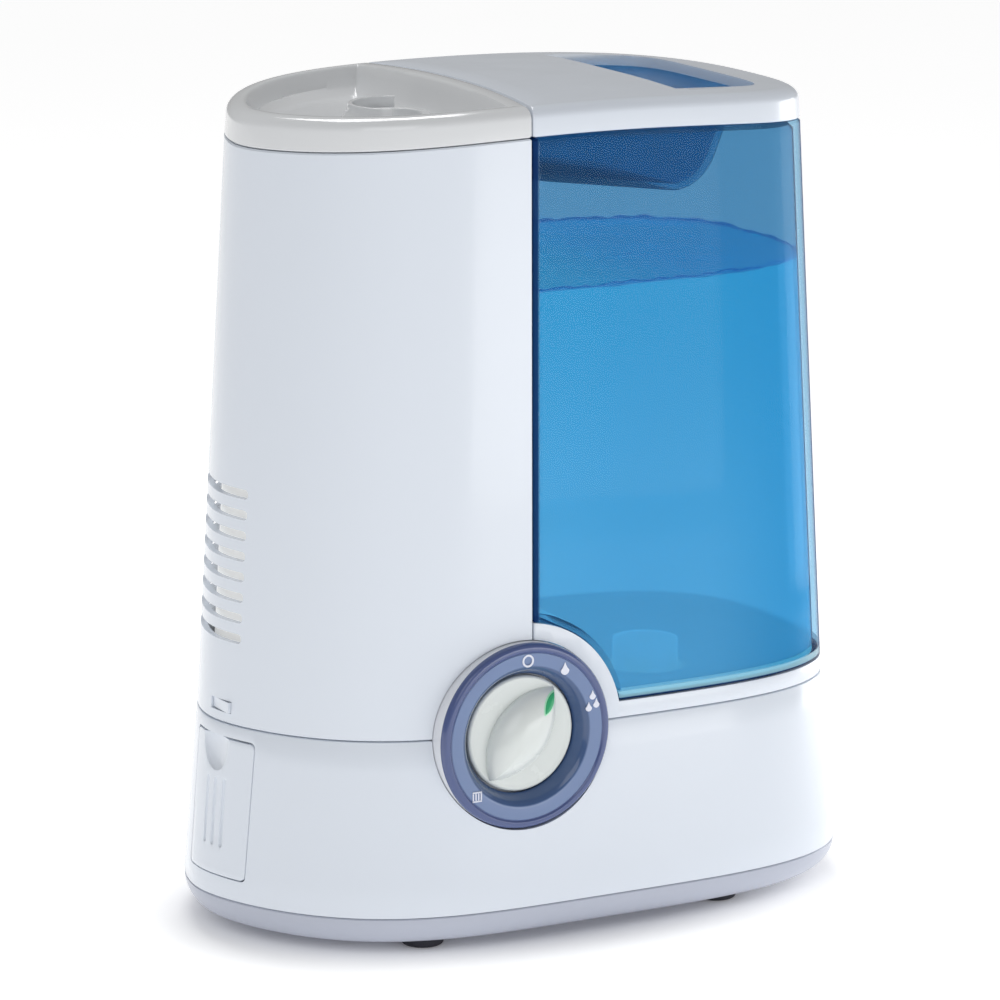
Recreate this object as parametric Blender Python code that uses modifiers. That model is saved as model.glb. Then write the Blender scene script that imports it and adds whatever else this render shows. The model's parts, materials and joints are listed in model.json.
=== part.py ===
"""Warm-mist humidifier, modelled as the separate pieces that it comes apart into.

Metres, +Z up, front towards -Y, the water tank at +X. The origin is on the floor under the
middle of the body. The casing pieces share one oval outline, which tapers towards the top.
"""

import math

import bmesh
import bpy
import numpy as np
from mathutils import Matrix, Vector

# ---- Driving dimensions ----------------------------------------------------------------------

FLOOR_GAP = 0.0040  # height of the feet
PAN_Z = 0.0162  # seam between the bottom pan and the base housing
SEAM_Z = 0.0823  # seam between the base and what stands on it
TANK_Z = 0.0892  # bottom edge of the tank
CAP_Z = 0.3043  # seam under the top caps, at mid length
TOP_Z = 0.3151  # rim of the top caps, at mid length
DOME = 0.0018  # how much the middle of the top rises above the rim
CAP_CROWN = 0.50  # fall of the cap seam per metre squared of length from the middle
TOP_CROWN = 0.40  # the same for the top

PAN_HALF = (0.1307, 0.0793)  # half length and half depth at PAN_Z
SEAM_HALF = (0.1255, 0.0736)
CAP_HALF = (0.1125, 0.0680)
SIDE_POWER = 3.9  # how flat the long sides are
LEFT_POWER = 1.43  # how round each end is
RIGHT_POWER = 2.85
END_SOFTNESS = 0.15
OUTLINE_POINTS = 56

SPLIT_X = -0.0265  # where the tower meets the tank, at the front and the back
SPLIT_BULGE = 0.0050  # how far the split bows towards the tank at mid depth
WALL = 0.0025
GAP = 0.0003  # between pieces that touch
SEAM_GAP = 0.0005  # between casing pieces, as a visible line

DIAL = Vector((-0.0318, -0.0762, 0.0812))  # middle of the dial ring's front
RING_R = 0.0355
KNOB_R = 0.0221
POD_R = 0.0335  # switch housing behind the ring
POD_BACK = -0.0430
NOTCH_R = RING_R + SEAM_GAP
TRAY_ARC_R = 0.0420  # white band round the ring's upper right

BOILER = Vector((-0.0600, -0.0060, 0.0))  # axis of the boiler and of the steam duct
BOILER_R = 0.0310
NECK = Vector((0.0420, -0.0360, 0.0))  # axis of the tank's neck, cap and valve
NECK_R = 0.0190
CAP_R = 0.0212

CUP = Vector((-0.0480, 0.0, 0.0))  # axis of the medicine cup
COLLAR_R = 0.0170
BOWL_Z = 0.3035  # floor of the steam bowl
COLLAR_TURN = math.radians(61)  # how the open side of the cup's collar is turned

DOOR_Y = (-0.0250, 0.0110)
DOOR_Z = (0.0245, 0.0785)
VENT_COUNT = 8
VENT_PITCH = 0.0078
VENT_LOW_Z = 0.1152
VENT_HEIGHT = 0.0036
LATCH_Y = (-0.0128, -0.0008)
LATCH_Z = (0.0866, 0.0906)

DECK_Z = 0.0785  # top of the base housing's deck
GLAND = Vector((-0.030, 0.0762, 0.036))  # where the mains cord leaves, at the back
BASIN_LOW = Vector((0.010, -0.0605, 0.0520))
BASIN_HIGH = Vector((0.092, 0.046, DECK_Z - 0.0033))
FEED_Z = 0.0600  # height of the hose from the basin to the boiler

POCKET_LOW = Vector((-0.0120, -0.0400, 0.2790))  # finger room in the tank's roof
POCKET_HIGH = Vector((0.0660, 0.0400, 0.3400))
DECK_EDGE_X = 0.0450  # straight side of the opening in the tank's top
OPENING_LENGTH = 0.0420
OPENING_HALF = 0.0480

FOOT_AT = [(x, y) for x in (-0.064, 0.064) for y in (-0.054, 0.054)]
SCREW_AT = [(-0.088, -0.040), (-0.088, 0.040), (0.110, -0.028), (0.110, 0.028)]

# ---- Materials: colour, roughness, metallic ---------------------------------------------------

FINISHES = {
    "white_plastic": ((0.86, 0.88, 0.92), 0.22, 0.0),
    "warm_white_plastic": ((0.88, 0.87, 0.82), 0.30, 0.0),
    "lavender_plastic": ((0.60, 0.62, 0.72), 0.35, 0.0),
    "blue_clear_plastic": ((0.10, 0.36, 0.68), 0.08, 0.0),
    "violet_plastic": ((0.18, 0.24, 0.46), 0.18, 0.0),
    "knob_plastic": ((0.80, 0.83, 0.80), 0.28, 0.0),
    "green_plastic": ((0.04, 0.45, 0.16), 0.35, 0.0),
    "dark_blue_plastic": ((0.02, 0.14, 0.36), 0.30, 0.0),
    "black_rubber": ((0.02, 0.02, 0.03), 0.75, 0.0),
    "clear_silicone": ((0.70, 0.70, 0.68), 0.50, 0.0),
    "steel": ((0.60, 0.60, 0.62), 0.25, 1.0),
    "aluminium": ((0.78, 0.78, 0.80), 0.35, 1.0),
    "black_plastic": ((0.03, 0.03, 0.03), 0.45, 0.0),
    "felt": ((0.86, 0.84, 0.76), 0.95, 0.0),
    "red_wire": ((0.50, 0.03, 0.03), 0.45, 0.0),
    "white_wire": ((0.75, 0.75, 0.73), 0.45, 0.0),
}


def material(finish):
    """The Principled material of a finish, made once."""
    found = bpy.data.materials.get(finish)
    if found:
        return found
    colour, roughness, metallic = FINISHES[finish]
    made = bpy.data.materials.new(finish)
    made.use_nodes = True
    shader = made.node_tree.nodes["Principled BSDF"]
    shader.inputs["Base Color"].default_value = (*colour, 1.0)
    shader.inputs["Roughness"].default_value = roughness
    shader.inputs["Metallic"].default_value = metallic
    return made


# ---- Scene and Boolean helpers ----------------------------------------------------------------


def new_collection(name):
    made = bpy.data.collections.new(name)
    bpy.context.scene.collection.children.link(made)
    return made


for old in list(bpy.data.objects):
    bpy.data.objects.remove(old, do_unlink=True)
PARTS = new_collection("warm_mist_humidifier")
CUTTERS = new_collection("cutters")


def add_object(name, data, finish, at=None):
    """Links a mesh or curve made in world coordinates, with its origin at the point `at`."""
    made = bpy.data.objects.new(name, data)
    if finish:
        data.materials.append(material(finish))
        PARTS.objects.link(made)
    else:
        CUTTERS.objects.link(made)
        made.hide_render = True
        made.display_type = "WIRE"
    if at is not None:
        data.transform(Matrix.Translation(-Vector(at)))
        made.location = at
    return made


def add_bmesh(name, bm, finish, at=None):
    """Makes an object from a bmesh, closed and facing out."""
    bmesh.ops.recalc_face_normals(bm, faces=bm.faces)
    mesh = bpy.data.meshes.new(name)
    bm.to_mesh(mesh)
    bm.free()
    return add_object(name, mesh, finish, at)


def boolean(target, operation, *others):
    """Adds Boolean modifiers that cut, join or keep the other objects' shapes."""
    for other in others:
        modifier = target.modifiers.new(f"{operation.lower()}_{other.name}"[:60], "BOOLEAN")
        modifier.operation = operation
        modifier.object = other
    return target


def cut(target, *others):
    return boolean(target, "DIFFERENCE", *others)


def join(target, *others):
    return boolean(target, "UNION", *others)


def keep(target, *others):
    return boolean(target, "INTERSECT", *others)


# ---- Shapes -----------------------------------------------------------------------------------


def box(name, low, high, finish=None, at=None, round_by=0.0, segments=3):
    """A box between two corners, with its edges rounded if asked."""
    low, high = Vector(low), Vector(high)
    bm = bmesh.new()
    bmesh.ops.create_cube(bm, size=1.0)
    bmesh.ops.scale(bm, vec=high - low, verts=bm.verts)
    bmesh.ops.translate(bm, vec=(low + high) / 2, verts=bm.verts)
    if round_by:
        bmesh.ops.bevel(
            bm, geom=bm.edges[:], offset=round_by, segments=segments, profile=0.5, affect="EDGES"
        )
    return add_bmesh(name, bm, finish, at)


def rod(name, start, end, radius, finish=None, at=None, steps=16):
    """A cylinder from one point to another."""
    start, end = Vector(start), Vector(end)
    along = end - start
    bm = bmesh.new()
    bmesh.ops.create_cone(
        bm, cap_ends=True, segments=steps, radius1=radius, radius2=radius, depth=along.length
    )
    turn = Vector((0, 0, 1)).rotation_difference(along).to_matrix().to_4x4()
    bm.transform(Matrix.Translation((start + end) / 2) @ turn)
    return add_bmesh(name, bm, finish, at)


def turned(name, profile, at, finish=None, axis="Z", steps=16):
    """A closed profile of (radius, height) points, turned about an axis through `at`.

    The profile runs down its outer side. Along axis "Y" its heights point to the front.
    """
    mesh = bpy.data.meshes.new(name)
    count = len(profile)
    edges = [(i, (i + 1) % count) for i in range(count)]
    if profile[0][0] == 0 and profile[-1][0] == 0:
        edges.pop()
    mesh.from_pydata([(radius, 0, height) for radius, height in profile], edges, [])
    made = add_object(name, mesh, finish)
    made.location = at
    if axis == "Y":
        made.rotation_euler = (math.radians(90), 0, 0)
    screw = made.modifiers.new("turn", "SCREW")
    screw.steps = screw.render_steps = steps
    screw.use_merge_vertices = True
    screw.merge_threshold = 0.00001
    screw.use_smooth_shade = True
    return made


def wire(name, points, radius, finish, at=None, sides=2):
    """A round wire through the points."""
    curve = bpy.data.curves.new(name, "CURVE")
    curve.dimensions = "3D"
    curve.bevel_depth = radius
    curve.bevel_resolution = sides
    curve.use_fill_caps = True
    spline = curve.splines.new("POLY")
    spline.points.add(len(points) - 1)
    for point, place in zip(spline.points, points):
        point.co = (*place, 1.0)
    return add_object(name, curve, finish, at)


def smooth_route(corners, steps=5):
    """Points of a smooth curve through the corners (Catmull-Rom)."""
    corners = [Vector(c) for c in corners]
    ends = [2 * corners[0] - corners[1], *corners, 2 * corners[-1] - corners[-2]]
    points = []
    for i in range(1, len(ends) - 2):
        a, b, c, d = ends[i - 1 : i + 3]
        for step in range(steps):
            t = step / steps
            points.append(
                0.5
                * (
                    2 * b
                    + (c - a) * t
                    + (2 * a - 5 * b + 4 * c - d) * t**2
                    + (3 * b - a - 3 * c + d) * t**3
                )
            )
    return [*points, corners[-1]]


# ---- The oval outline -------------------------------------------------------------------------


def end_reach(share, power):
    """Depth, from 0 to 1, at which the outline has used this share of its roundness."""
    soft = END_SOFTNESS**power
    whole = (1 + END_SOFTNESS**2) ** (power / 2) - soft
    return math.sqrt(max((share * whole + soft) ** (2 / power) - END_SOFTNESS**2, 0.0))


def unit_outline(count, dense=1440):
    """Evenly spaced points of the outline, for a half length and a half depth of 1."""
    points = []
    for step in range(dense + 1):
        angle = 2 * math.pi * step / dense
        across, deep = math.cos(angle), math.sin(angle)
        power = RIGHT_POWER if across > 0 else LEFT_POWER
        length = math.copysign(abs(across) ** (2 / SIDE_POWER), across)
        points.append((length, math.copysign(end_reach(deep**2, power), deep)))
    points = np.array(points)
    steps = np.linalg.norm(np.diff(points * SEAM_HALF, axis=0), axis=1)
    walked = np.concatenate([[0.0], np.cumsum(steps)])
    at = np.linspace(0.0, walked[-1], count, endpoint=False)
    across, deep = (np.interp(at, walked, points[:, i]) for i in (0, 1))
    return list(zip(across.tolist(), deep.tolist()))


OUTLINE = unit_outline(OUTLINE_POINTS)


def half_sizes(z):
    """Half length and half depth of the casing at a height."""
    if z < SEAM_Z:
        share = max(z - PAN_Z, 0.0) / (SEAM_Z - PAN_Z)
        low, high = PAN_HALF, SEAM_HALF
    else:
        share = (z - SEAM_Z) / (CAP_Z - SEAM_Z)
        low, high = SEAM_HALF, CAP_HALF
    return [a + (b - a) * share for a, b in zip(low, high)]


def ring(z, inset=0.0, crown=0.0, spread=1.0):
    """One level of the casing: the outline at a height, moved in and bent down at its ends."""
    length, depth = (half - inset for half in half_sizes(z))
    points = []
    for u, v in OUTLINE:
        x, y = length * u * spread, depth * v * spread
        points.append(Vector((x, y, z - crown * x * x)))
    return points


def end_x(y, z):
    """Where the casing's left end is, at a depth and a height."""
    length, depth = half_sizes(z)
    left = sorted((v * depth, u * length) for u, v in OUTLINE if u < 0)
    return float(np.interp(y, [place for place, _ in left], [place for _, place in left]))


def loft(name, rings, finish=None, at=None, closed=False):
    """Skins rings of equally many points. Open ends are capped, or the last joins the first."""
    bm = bmesh.new()
    levels = [[bm.verts.new(p) for p in points] for points in rings]
    count = len(levels[0])
    pairs = list(zip(levels, levels[1:]))
    if closed:
        pairs.append((levels[-1], levels[0]))
    for lower, upper in pairs:
        for i in range(count):
            j = (i + 1) % count
            bm.faces.new((lower[i], lower[j], upper[j], upper[i]))
    if not closed:
        bm.faces.new(levels[0])
        bm.faces.new(levels[-1])
    bmesh.ops.triangulate(bm, faces=bm.faces)
    return add_bmesh(name, bm, finish, at)


def crowned_face(z, crown, inset=0.0):
    """Inner rings that carry the crown across a flat end, from the edge to the middle."""
    return [ring(z, inset, crown, spread) for spread in (0.60, 0.20)]


def split_x(y):
    """The line, seen from above, along which the tower meets the tank."""
    return SPLIT_X + SPLIT_BULGE * (1 - (y / CAP_HALF[1]) ** 2)


def side_block(name, side, levels, steps=12):
    """All space on one side of the split: -1 is the tower's, +1 the tank's.

    Each level is a height and how far the block stays back from the split there.
    """
    reach = 0.1
    rings = []
    for z, back in levels:
        curve = []
        for step in range(steps + 1):
            y = reach * (2 * step / steps - 1)
            curve.append(Vector((split_x(y) + side * back, y, z)))
        far = [Vector((side * 0.3, reach, z)), Vector((side * 0.3, -reach, z))]
        rings.append(curve + far)
    return loft(name, rings)


def dial_cylinder(name, radius, back):
    """A cylinder about the dial's axis, from in front of the casing back to y = back."""
    return rod(name, (DIAL.x, -0.12, DIAL.z), (DIAL.x, back, DIAL.z), radius, steps=36)


def whole_side(name, side, back):
    """The space on one side of the split, this far back from it at every height."""
    return side_block(name, side, [(0.0, back), (0.4, back)])


TOWER_SIDE = whole_side("tower_side", -1, SEAM_GAP / 2)
TOWER_INSIDE = whole_side("tower_inside", -1, SEAM_GAP / 2 + WALL)
TANK_SIDE = whole_side("tank_side", 1, SEAM_GAP / 2)
TANK_INSIDE = whole_side("tank_inside", 1, SEAM_GAP / 2 + WALL)
DIAL_NOTCH = dial_cylinder("dial_notch", NOTCH_R, POD_BACK + 0.0015)


# ---- Base -------------------------------------------------------------------------------------


def make_pan():
    low, high = FLOOR_GAP, PAN_Z - SEAM_GAP / 2
    pan = loft(
        "base_pan",
        [
            ring(low, 0.0130),
            ring(low + 0.0007, 0.0095),
            ring(low + 0.0032, 0.0050),
            ring(low + 0.0070, 0.0018),
            ring(high, 0.0002),
            ring(high, WALL),
            ring(low + 0.0040, 0.0080),
            ring(low + 0.0026, 0.0130),
        ],
        "lavender_plastic",
    )
    for i, (x, y) in enumerate(SCREW_AT, 1):
        cut(pan, rod(f"pan_hole_{i}", (x, y, -0.01), (x, y, 0.02), 0.0019, steps=12))
        cut(pan, rod(f"pan_sink_{i}", (x, y, -0.01), (x, y, low + 0.0012), 0.0038, steps=12))
    return pan


def make_feet():
    for i, (x, y) in enumerate(FOOT_AT, 1):
        top = FLOOR_GAP - GAP
        profile = [(0, top), (0.0085, top), (0.0078, 0.0005), (0.0072, 0.0), (0, 0.0)]
        turned(f"foot_{i}", profile, (x, y, 0), "black_rubber")


def make_pan_screws():
    for i, (x, y) in enumerate(SCREW_AT, 1):
        head_z = FLOOR_GAP + 0.0012 - GAP
        profile = [
            (0, 0.0150),
            (0.0012, 0.0142),
            (0.0014, 0.0130),
            (0.0014, head_z),
            (0.0034, head_z),
            (0.0034, head_z - 0.0006),
            (0.0026, head_z - 0.0012),
            (0, head_z - 0.0012),
        ]
        turned(f"pan_screw_{i}", profile, (x, y, 0), "steel", steps=12)


def make_housing():
    low, high = PAN_Z + SEAM_GAP / 2, SEAM_Z - SEAM_GAP / 2
    housing = loft(
        "base_housing",
        [
            ring(DECK_Z - 0.0030, WALL),
            ring(low, WALL),
            ring(low, 0.0),
            ring(high, 0.0),
            ring(high, 0.0040),
            ring(DECK_Z, 0.0043),
        ],
        "white_plastic",
    )
    for i, (x, y) in enumerate(SCREW_AT, 1):
        join(housing, rod(f"boss_{i}", (x, y, 0.0070), (x, y, DECK_Z - 0.0010), 0.0036, steps=12))
        cut(housing, rod(f"boss_bore_{i}", (x, y, 0.0), (x, y, 0.0180), 0.0018, steps=12))
    boiler = rod("boiler_hole", (*BOILER.xy, 0.06), (*BOILER.xy, 0.10), BOILER_R + 0.0006, steps=24)
    basin = box("basin_hole", (0.014, -0.0590, 0.06), (0.088, 0.042, 0.10))
    door = box(
        "door_hole",
        (-0.14, DOOR_Y[0] - SEAM_GAP, DOOR_Z[0] - SEAM_GAP),
        (-0.110, DOOR_Y[1] + SEAM_GAP, DOOR_Z[1] - 0.0012),
        round_by=0.002,
        segments=2,
    )
    gland = rod("gland_hole", (GLAND.x, 0.05, GLAND.z), (GLAND.x, 0.10, GLAND.z), 0.0063)
    seat = rod("gland_seat", (GLAND.x, 0.0765, GLAND.z), (GLAND.x, 0.10, GLAND.z), 0.0084)
    return cut(housing, DIAL_NOTCH, boiler, basin, door, gland, seat)


def make_gland():
    profile = [
        (0.0030, 0.0026),
        (0.0042, 0.0026),
        (0.0080, 0.0022),
        (0.0080, 0.0006),
        (0.0060, 0.0006),
        (0.0060, -0.0060),
        (0.0030, -0.0060),
    ]
    gland = turned("cord_gland", profile, (GLAND.x, GLAND.y, GLAND.z), "black_rubber", axis="Y")
    gland.rotation_euler = (math.radians(-90), 0, 0)


def make_tank_tray():
    """White tray under the tank, with the band that rises round the dial ring."""
    low, rim = SEAM_Z + SEAM_GAP / 2, TANK_Z - SEAM_GAP
    tray = loft(
        "tank_tray",
        [
            ring(DECK_Z + 0.0004, 0.0048),
            ring(low, 0.0048),
            ring(low, 0.0),
            ring(rim, 0.0),
            ring(rim, 0.0036),
            ring(DECK_Z + 0.0030, 0.0075),
        ],
        "white_plastic",
    )
    keep(tray, TANK_SIDE)
    band = loft(
        "dial_band",
        [ring(low, 0.0), ring(0.14, 0.0), ring(0.14, 0.0040), ring(low, 0.0040)],
        closed=True,
    )
    keep(band, TANK_SIDE, dial_cylinder("band_edge", TRAY_ARC_R, -0.04))
    join(tray, band)
    hole = rod("cap_hole", (*NECK.xy, 0.06), (*NECK.xy, 0.10), CAP_R + 0.0025, steps=24)
    return cut(tray, DIAL_NOTCH, hole)


def make_basin():
    """Reservoir under the tank, with the post that pushes the valve open, and its spout."""
    wall = Vector((0.002, 0.002, 0.002))
    basin = box("reservoir_basin", BASIN_LOW, BASIN_HIGH, "warm_white_plastic")
    cut(basin, box("basin_inside", BASIN_LOW + wall, (*(BASIN_HIGH - wall).xy, 0.1)))
    post = rod("valve_post", (*NECK.xy, 0.0525), (*NECK.xy, 0.0680), 0.0030, steps=12)
    spout = rod("basin_spout", (0.001, BOILER.y, FEED_Z), (0.0110, BOILER.y, FEED_Z), 0.0050)
    bore = rod("spout_bore", (-0.010, BOILER.y, FEED_Z), (0.0140, BOILER.y, FEED_Z), 0.0034)
    return cut(join(basin, post, spout), bore)


def make_feed_pipe():
    """Silicone hose between the basin's spout and the boiler's."""
    y = BOILER.y
    hose = rod("feed_hose", (-0.0205, y, FEED_Z), (0.0075, y, FEED_Z), 0.0070, "clear_silicone")
    return cut(hose, rod("hose_bore", (-0.03, y, FEED_Z), (0.02, y, FEED_Z), 0.0053))


def make_boiler():
    r = BOILER_R
    cup = turned(
        "boiler_cup",
        [
            (r - 0.0012, 0.0810),
            (r + 0.0020, 0.0810),
            (r + 0.0020, 0.0798),
            (r, 0.0798),
            (r, 0.0420),
            (r - 0.0040, 0.0380),
            (0, 0.0380),
            (0, 0.0392),
            (r - 0.0044, 0.0392),
            (r - 0.0012, 0.0426),
        ],
        (*BOILER.xy, 0),
        "steel",
        steps=24,
    )
    y, z = BOILER.y, FEED_Z
    spout = rod("boiler_spout", (BOILER.x + r - 0.0015, y, z), (-0.0140, y, z), 0.0050)
    bore = rod("boiler_bore", (BOILER.x + r - 0.0060, y, z), (-0.010, y, z), 0.0034)
    cut(join(cup, spout), bore)
    turned(
        "heater_plate",
        [(0, 0.0377), (0.0265, 0.0377), (0.0265, 0.0345), (0, 0.0345)],
        (*BOILER.xy, 0),
        "aluminium",
        steps=24,
    )
    turned(
        "chamber_seal",
        [(r - 0.0010, 0.0836), (r + 0.0016, 0.0836), (r + 0.0016, 0.0813), (r - 0.0010, 0.0813)],
        (*BOILER.xy, 0),
        "clear_silicone",
        steps=24,
    )
    make_heating_element()
    reach, thick, half = 0.0300, 0.0012, 0.0050
    low = BOILER + Vector((-half, -reach, 0.0262))
    high = BOILER + Vector((half, reach, 0.0262 + thick))
    clamp = box("heater_clamp", low, high, "steel")
    leg_high = Vector((high.x, low.y + thick, 0.0350))
    join(clamp, box("clamp_leg_front", low, leg_high))
    leg_low = Vector((low.x, high.y - thick, low.z))
    join(clamp, box("clamp_leg_back", leg_low, (high.x, high.y, 0.0350)))
    turned(
        "thermostat",
        [(0, 0.0259), (0.0080, 0.0259), (0.0080, 0.0190), (0.0050, 0.0175), (0, 0.0175)],
        (BOILER.x, BOILER.y, 0),
        "black_plastic",
    )


def make_heating_element():
    """Ring-shaped tubular element pressed under the plate, with both ends turned down."""
    radius, z = 0.0200, 0.0310
    gap_half = math.radians(20)
    turns = []
    for step in range(17):
        angle = gap_half + (2 * math.pi - 2 * gap_half) * step / 16
        across = Vector((math.cos(angle), math.sin(angle), 0)) * radius
        turns.append(Vector((*BOILER.xy, z)) + across)
    bend = Vector((0.003, 0, -0.006))
    tail = bend + Vector((0, 0, -0.004))
    points = [turns[0] + tail, turns[0] + bend, *turns, turns[-1] + bend, turns[-1] + tail]
    return wire("heating_element", points, 0.0029, "aluminium")


def make_electrics():
    """Switch, its housing, the fuse, the terminals and the leads between them."""
    pod_front = DIAL.y + 0.0092
    depth = POD_BACK - pod_front
    turned(
        "switch_housing",
        [
            (0.0045, 0.0),
            (POD_R, 0.0),
            (POD_R, -depth),
            (POD_R - 0.002, -depth),
            (POD_R - 0.002, -0.0022),
            (0.0045, -0.0022),
        ],
        (DIAL.x, pod_front, DIAL.z),
        "white_plastic",
        axis="Y",
        steps=36,
    )
    front = pod_front + 0.0026
    half = 0.0115
    switch = box(
        "rotary_switch",
        (DIAL.x - half, front, DIAL.z - half),
        (DIAL.x + half, front + 0.0150, DIAL.z + half),
        "black_plastic",
    )
    bore_ends = [(DIAL.x, front + step, DIAL.z) for step in (-0.0100, 0.0100)]
    cut(switch, rod("switch_bore", *bore_ends, 0.0033))
    fuse_low, fuse_high = Vector((-0.048, 0.024, 0.0300)), Vector((-0.034, 0.029, 0.0350))
    box("thermal_fuse", fuse_low, fuse_high, "white_plastic", round_by=0.001, segments=2)
    box("terminal_block", (-0.046, 0.046, 0.0200), (-0.020, 0.056, 0.0300), "white_plastic")
    fuse_x, fuse_z = (fuse_low.x + fuse_high.x) / 2, (fuse_low.z + fuse_high.z) / 2
    element_end = BOILER + Vector((0.0218, 0.0098, 0.0180))
    wire(
        "switch_lead",
        smooth_route(
            [
                (-0.028, 0.0454, 0.026),
                (-0.012, 0.020, 0.024),
                (-0.008, -0.024, 0.030),
                (-0.012, -0.038, 0.056),
                (-0.024, -0.041, 0.072),
                (-0.028, -0.0488, 0.0770),
            ]
        ),
        0.0011,
        "red_wire",
    )
    wire(
        "heater_lead",
        smooth_route(
            [(-0.038, 0.0454, 0.024), (fuse_x, 0.038, 0.026), (fuse_x, 0.0296, fuse_z)]
        ),
        0.0011,
        "white_wire",
    )
    wire(
        "fuse_lead",
        smooth_route([(fuse_x, 0.0234, fuse_z), (-0.038, 0.014, 0.026), element_end]),
        0.0011,
        "white_wire",
    )


# ---- Dial -------------------------------------------------------------------------------------


def make_dial():
    rim, inner = RING_R, KNOB_R + 0.0007
    turned(
        "dial_ring",
        [
            (0.0268, -0.0004),
            (0.0318, 0.0),
            (0.0325, 0.0006),
            (0.0345, 0.0),
            (rim, -0.0014),
            (rim, -0.0086),
            (inner, -0.0086),
            (inner, -0.0058),
        ],
        DIAL,
        "violet_plastic",
        axis="Y",
        steps=36,
    )
    knob_at = DIAL + Vector((0, 0.0050, 0))
    knob = turned(
        "dial_knob",
        [
            (0, -0.0004),
            (0.0120, -0.0004),
            (0.0195, -0.0001),
            (KNOB_R - 0.0004, -0.0004),
            (KNOB_R, -0.0012),
            (KNOB_R, -0.0034),
            (0, -0.0034),
        ],
        knob_at,
        "knob_plastic",
        axis="Y",
        steps=36,
    )
    point_turn = Matrix.Rotation(math.radians(37), 4, "Y")
    join(knob, grip(knob_at, point_turn))
    place = Matrix.Translation(knob_at) @ point_turn
    pointer = box("knob_pointer", (-0.0010, -0.0091, 0.0105), (0.0010, -0.0060, 0.0170))
    pointer.data.transform(place)
    slot = box("pointer_slot", (-0.0013, -0.0120, 0.0102), (0.0013, -0.0055, 0.0173))
    slot.data.transform(place)
    cut(knob, slot)
    bore_ends = [(DIAL.x, knob_at.y + step, DIAL.z) for step in (0.0010, 0.0060)]
    cut(knob, rod("shaft_bore", *bore_ends, 0.0033))
    CUTTERS.objects.unlink(pointer)
    PARTS.objects.link(pointer)
    pointer.hide_render = False
    pointer.display_type = "TEXTURED"
    pointer.data.materials.append(material("green_plastic"))
    rod(
        "knob_shaft",
        (DIAL.x, knob_at.y + 0.0013, DIAL.z),
        (DIAL.x, knob_at.y + 0.0160, DIAL.z),
        0.0030,
        "steel",
        at=(DIAL.x, knob_at.y, DIAL.z),
    )


def grip(at, turn):
    """Leaf-shaped fin across the knob."""
    bm = bmesh.new()
    bmesh.ops.create_uvsphere(bm, u_segments=16, v_segments=10, radius=1.0)
    bm.transform(Matrix.Diagonal((0.0078, 0.0085, 0.0205, 1.0)))
    bm.transform(Matrix.Translation(at) @ turn)
    fin = add_bmesh("knob_fin", bm, None)
    reach = Vector((0.03, 0.03, 0.03))
    back = box("fin_back", at + Vector((-reach.x, 0.0012, -reach.z)), at + reach)
    return cut(fin, back)


# ---- Scent-pad drawer -------------------------------------------------------------------------


def make_scent_drawer():
    """Curved door at the left end, with the tray behind it that holds the scent pad."""
    low, high = PAN_Z, SEAM_Z
    region = box(
        "door_region",
        (-0.14, DOOR_Y[0], DOOR_Z[0]),
        (-0.110, DOOR_Y[1], DOOR_Z[1] - 0.0020),
        round_by=0.002,
        segments=2,
    )
    door = loft(
        "scent_door",
        [ring(low, 0.0), ring(high, 0.0), ring(high, WALL), ring(low, WALL)],
        "white_plastic",
        closed=True,
    )
    keep(door, region)
    middle = sum(DOOR_Y) / 2
    bm = bmesh.new()
    bmesh.ops.create_uvsphere(bm, u_segments=16, v_segments=8, radius=1.0)
    scoop_at = Matrix.Translation((end_x(middle, DOOR_Z[1]) - 0.0012, middle, DOOR_Z[1]))
    bm.transform(scoop_at @ Matrix.Diagonal((0.0035, 0.0110, 0.0140, 1.0)))
    cut(door, add_bmesh("door_scoop", bm, None))
    for i, offset in enumerate((-0.0050, 0.0, 0.0050), 1):
        y = middle + offset
        low_end, high_end = ((end_x(y, z) - 0.0002, y, z) for z in (0.036, 0.060))
        cut(door, rod(f"door_groove_{i}", low_end, high_end, 0.0011, steps=8))
    wall = 0.0015
    tray_low = Vector((-0.1190, DOOR_Y[0] + 0.0060, 0.0340))
    tray_high = Vector((-0.1020, DOOR_Y[1] - 0.0060, 0.0700))
    tray = box("pad_tray", tray_low, tray_high, "warm_white_plastic")
    shell = Vector((wall, wall, wall))
    cut(tray, box("tray_inside", tray_low + shell, (*(tray_high - shell).xy, 0.1)))
    pad_low = tray_low + Vector((0.0070, wall + GAP, wall + GAP))
    pad_high = tray_high + Vector((-0.0060, -wall - GAP, -0.0010))
    box("scent_pad", pad_low, pad_high, "felt", round_by=0.001, segments=2)
    room = Vector((0.0, 0.0005, 0.0005))
    guide_low = tray_low - room - Vector((-0.0030, wall, wall))
    guide_high = tray_high + room + Vector((0.0030, wall, wall))
    guide = box("drawer_guide", guide_low, guide_high, "white_plastic")
    hollow_low = (-0.14, tray_low.y - room.y, tray_low.z - room.z)
    hollow_high = tray_high + room + Vector((0.0010, 0.0, 0.0))
    cut(guide, box("guide_inside", hollow_low, hollow_high))


# ---- Tower ------------------------------------------------------------------------------------


def cap_levels():
    """Rings of a top cap, from its seam up over the rounded rim to the domed middle."""
    seam = CAP_Z + SEAM_GAP / 2
    levels = [
        *crowned_face(seam, CAP_CROWN)[::-1],
        ring(seam, 0.0, CAP_CROWN),
        ring(TOP_Z - 0.0044, 0.0, TOP_CROWN),
        ring(TOP_Z - 0.0012, 0.0016, TOP_CROWN),
        ring(TOP_Z, 0.0055, TOP_CROWN),
    ]
    for spread in (0.70, 0.30):
        levels.append(ring(TOP_Z + DOME * (1 - spread**2), 0.0055, TOP_CROWN, spread))
    return levels


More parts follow.
